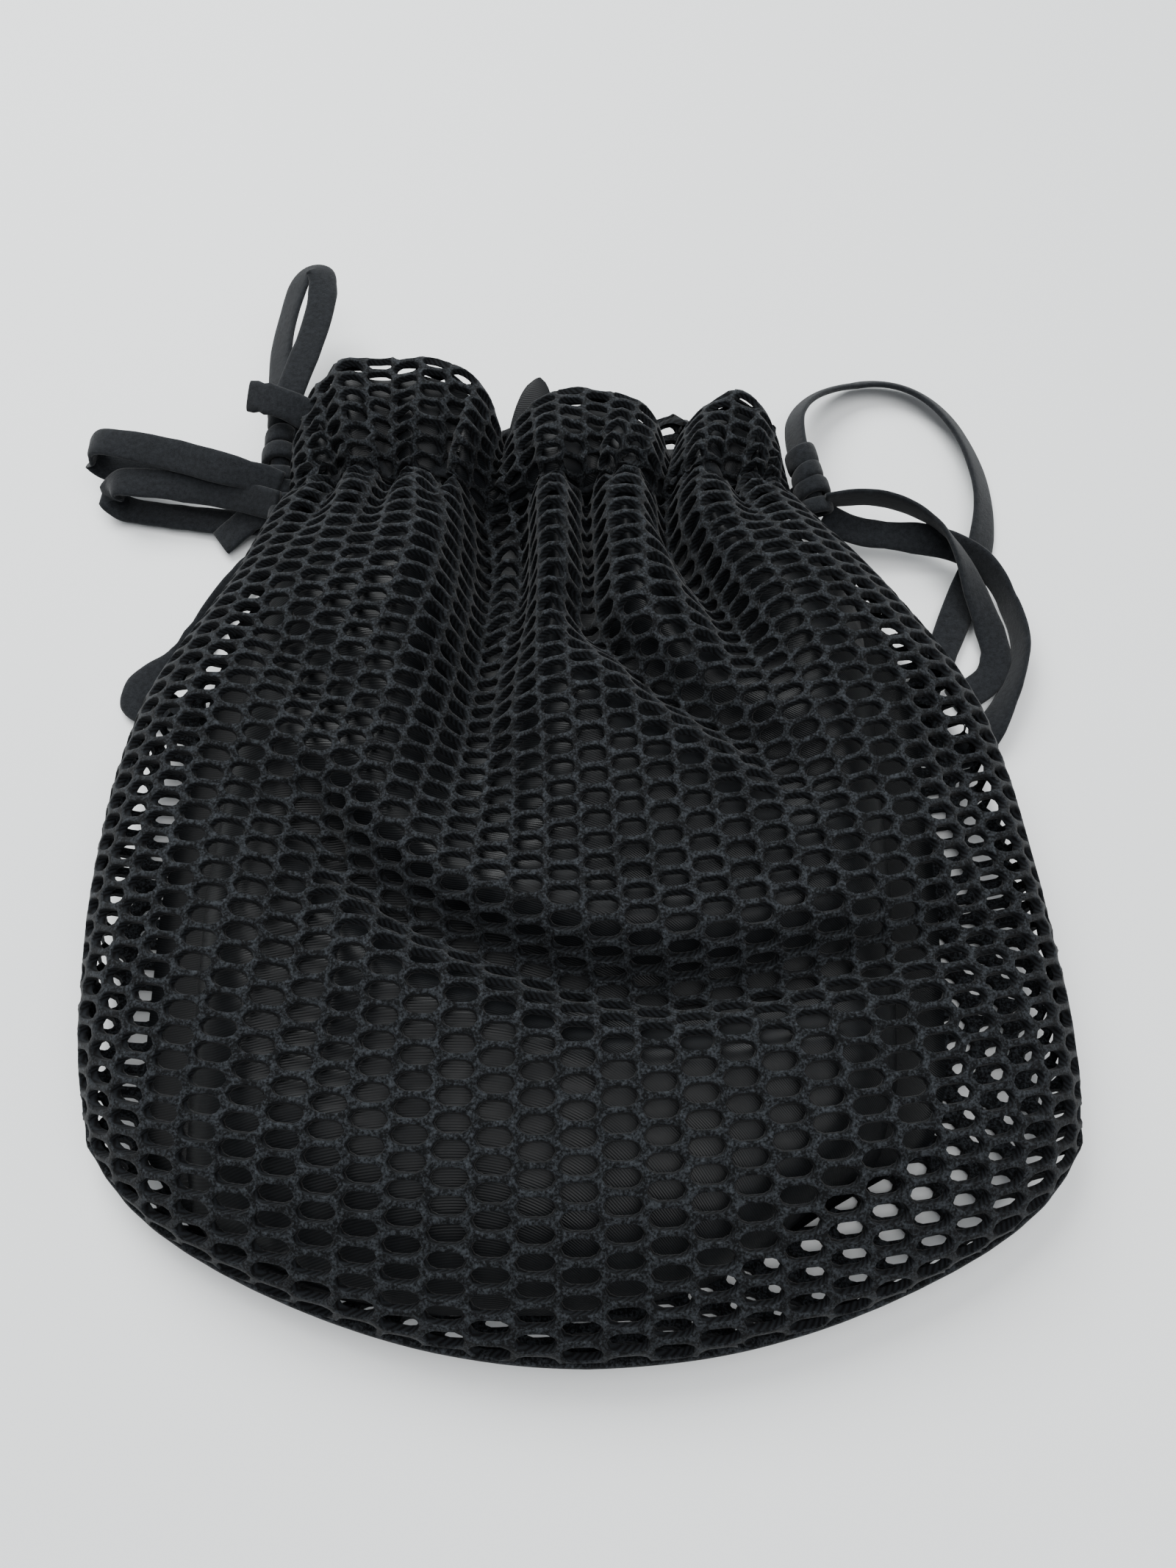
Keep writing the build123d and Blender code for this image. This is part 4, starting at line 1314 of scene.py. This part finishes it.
def satin_piece(name, grid, upward=True):
    """A satin cloth from a grid of places, with its own cloth coordinates in metres."""
    grid = grid * MM
    count, wide = grid.shape[:2]
    order = (0, 1, 2, 3) if upward else (3, 2, 1, 0)
    faces = []
    for r in range(count - 1):
        for c in range(wide - 1):
            quad = (r * wide + c, r * wide + c + 1, (r + 1) * wide + c + 1, (r + 1) * wide + c)
            faces.append(tuple(quad[k] for k in order))
    piece = mesh_piece(name, grid.reshape(-1, 3), faces)
    across = np.concatenate([np.zeros((count, 1)), np.cumsum(
        np.linalg.norm(np.diff(grid, axis=1), axis=2), axis=1)], axis=1)
    across -= across[:, wide // 2][:, None]
    up = np.concatenate([np.zeros((1, wide)), np.cumsum(
        np.linalg.norm(np.diff(grid, axis=0), axis=2), axis=0)], axis=0)
    layer = piece.data.uv_layers.new(name="cloth")
    corners = np.array([l.vertex_index for l in piece.data.loops])
    uv = np.stack([across, up], axis=-1).reshape(-1, 2)[corners]
    layer.data.foreach_set("uv", uv.ravel())
    piece.data.materials.append(SATIN)
    area = float(quad_areas(grid).sum())
    return piece, area


pouch_front_grid = smooth_grid(pouch_front(), 3)
pouch_back_grid = pouch_back()
front_pouch, front_pouch_area = satin_piece("front_pouch", pouch_front_grid)
back_pouch, back_pouch_area = satin_piece("back_pouch", pouch_back_grid, upward=False)
print("pouch areas:", round(front_pouch_area, 4), round(back_pouch_area, 4), "m2")

# %% [markdown]
# ## The pouch's corner in the mouth
# One corner of the pouch stands up through the gathered mouth. It is a small tongue that
# tapers to a rounded top and bows forward a little.

# %% The corner of the pouch that stands up in the mouth
TAB_FOOT, TAB_TOP, TAB_HALF = (-14.5, 126, 17), (-11.5, 150, 33.5), 8.5
tab_rows = []
for step in np.linspace(0, 1, 18):
    across = np.linspace(-1, 1, 14)
    x, y, z = (foot + (top - foot) * step for foot, top in zip(TAB_FOOT, TAB_TOP))
    taper = math.sqrt(1 - 0.98 * step ** 2.2)
    tab_rows.append(np.column_stack([x + TAB_HALF * taper * across, y + 0.7 * across,
                                     z + 2.0 * (1 - across ** 2) * taper]))
pouch_tab, _ = satin_piece("pouch_tab", np.array(tab_rows))
print("pouch tab:", len(tab_rows), "rows")

# %% [markdown]
# ## The side seam
# Front and back mesh are sewn together along a narrow, slightly wavy edge that runs down one
# side, round the bottom and up the other.

# %% The seam's edge
seam_share = np.sin(np.linspace(-1, 1, 160) * math.pi / 2)
seam_bottom = np.column_stack([np.zeros(160), bottom_at(seam_share), np.full(160, SEAM_Z)])
seam_left, seam_right = edges_at(seam_bottom[:, 1])
seam_bottom[:, 0] = (seam_left + seam_right) / 2 + (seam_right - seam_left) / 2 * seam_share
side_y = np.linspace(NECK_Y, bottom_at(1.0), 90)[:-1]
side_left, side_right = edges_at(side_y)
seam_line = np.concatenate([
    np.column_stack([side_left, side_y, np.full(len(side_y), SEAM_Z)]),
    seam_bottom,
    np.column_stack([side_right, side_y, np.full(len(side_y), SEAM_Z)])[::-1]]) * MM
travel = np.concatenate([[0], np.cumsum(np.linalg.norm(np.diff(seam_line, axis=0), axis=1))])
steps = np.arange(0, travel[-1], 1.6 * MM)
seam_line = np.column_stack([np.interp(steps, travel, seam_line[:, k]) for k in range(3)])
seam_line[:, 2] += 0.5 * MM * np.sin(steps / (CELL_WIDTH * MM) * 2 * math.pi)
seam_edge = strip_along("side_seam_edge", seam_line, np.full(len(seam_line), 25.0), 31,
                        width=2.6 * MM, thickness=2.0 * MM, material=HONEYCOMB)
# Depth 1 gives the seam edge the outer face's colour, painted lighter as if lit.
depth = seam_edge.data.attributes.new("depth", "FLOAT", "POINT")
depth.data.foreach_set("value", [1.0] * len(seam_edge.data.vertices))
print("seam:", round(line_length(seam_line) / MM), "mm")

# %% [markdown]
# ## Tidy the cloth pieces
# The front of the bag folds open about a line near its middle. Here the guide surfaces and
# the repeating cells are removed, the cloth pieces are baked in place as plain mesh, and the
# imported cloth and lining parts are hidden.

for guide in (front_guide, back_guide, front_cell, back_cell):
    bpy.data.objects.remove(guide)
for piece in (front_cloth, back_cloth, front_pouch, back_pouch, pouch_tab, seam_edge):
    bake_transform(piece)
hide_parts("front_panel", "mouth_front_panel", "front_casing", "front_frill",
            "front_hem")
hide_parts("back_panel", "back_casing", "back_frill", "back_hem")
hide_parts("edge_seam")
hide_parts("lining_front", "lining_mouth")
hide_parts("lining_back", "lining_seam")
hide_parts("lining_tab")


# %% The lace inside the front of the casing, just under the gathered cloth
casing_row = front_grid[BODY_ROWS + 1]
inner_line = casing_row[6:-6:4] + np.array([0, 1.5, -3.6])
inner_line = route_line("front_run", [tuple(p * MM) for p in inner_line])
front_run = strip_along("front_lace_run_strip", inner_line, np.zeros(len(inner_line)), 41,
                        width=6.5 * MM)
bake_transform(front_run)
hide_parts("front_lace_run")


# %% Each pouch panel with its grid in metres


for piece, grid, area, extra in ((front_pouch, pouch_front_grid, front_pouch_area, [pouch_tab]),
                                 (back_pouch, pouch_back_grid, back_pouch_area, [])):
    grid = grid * MM
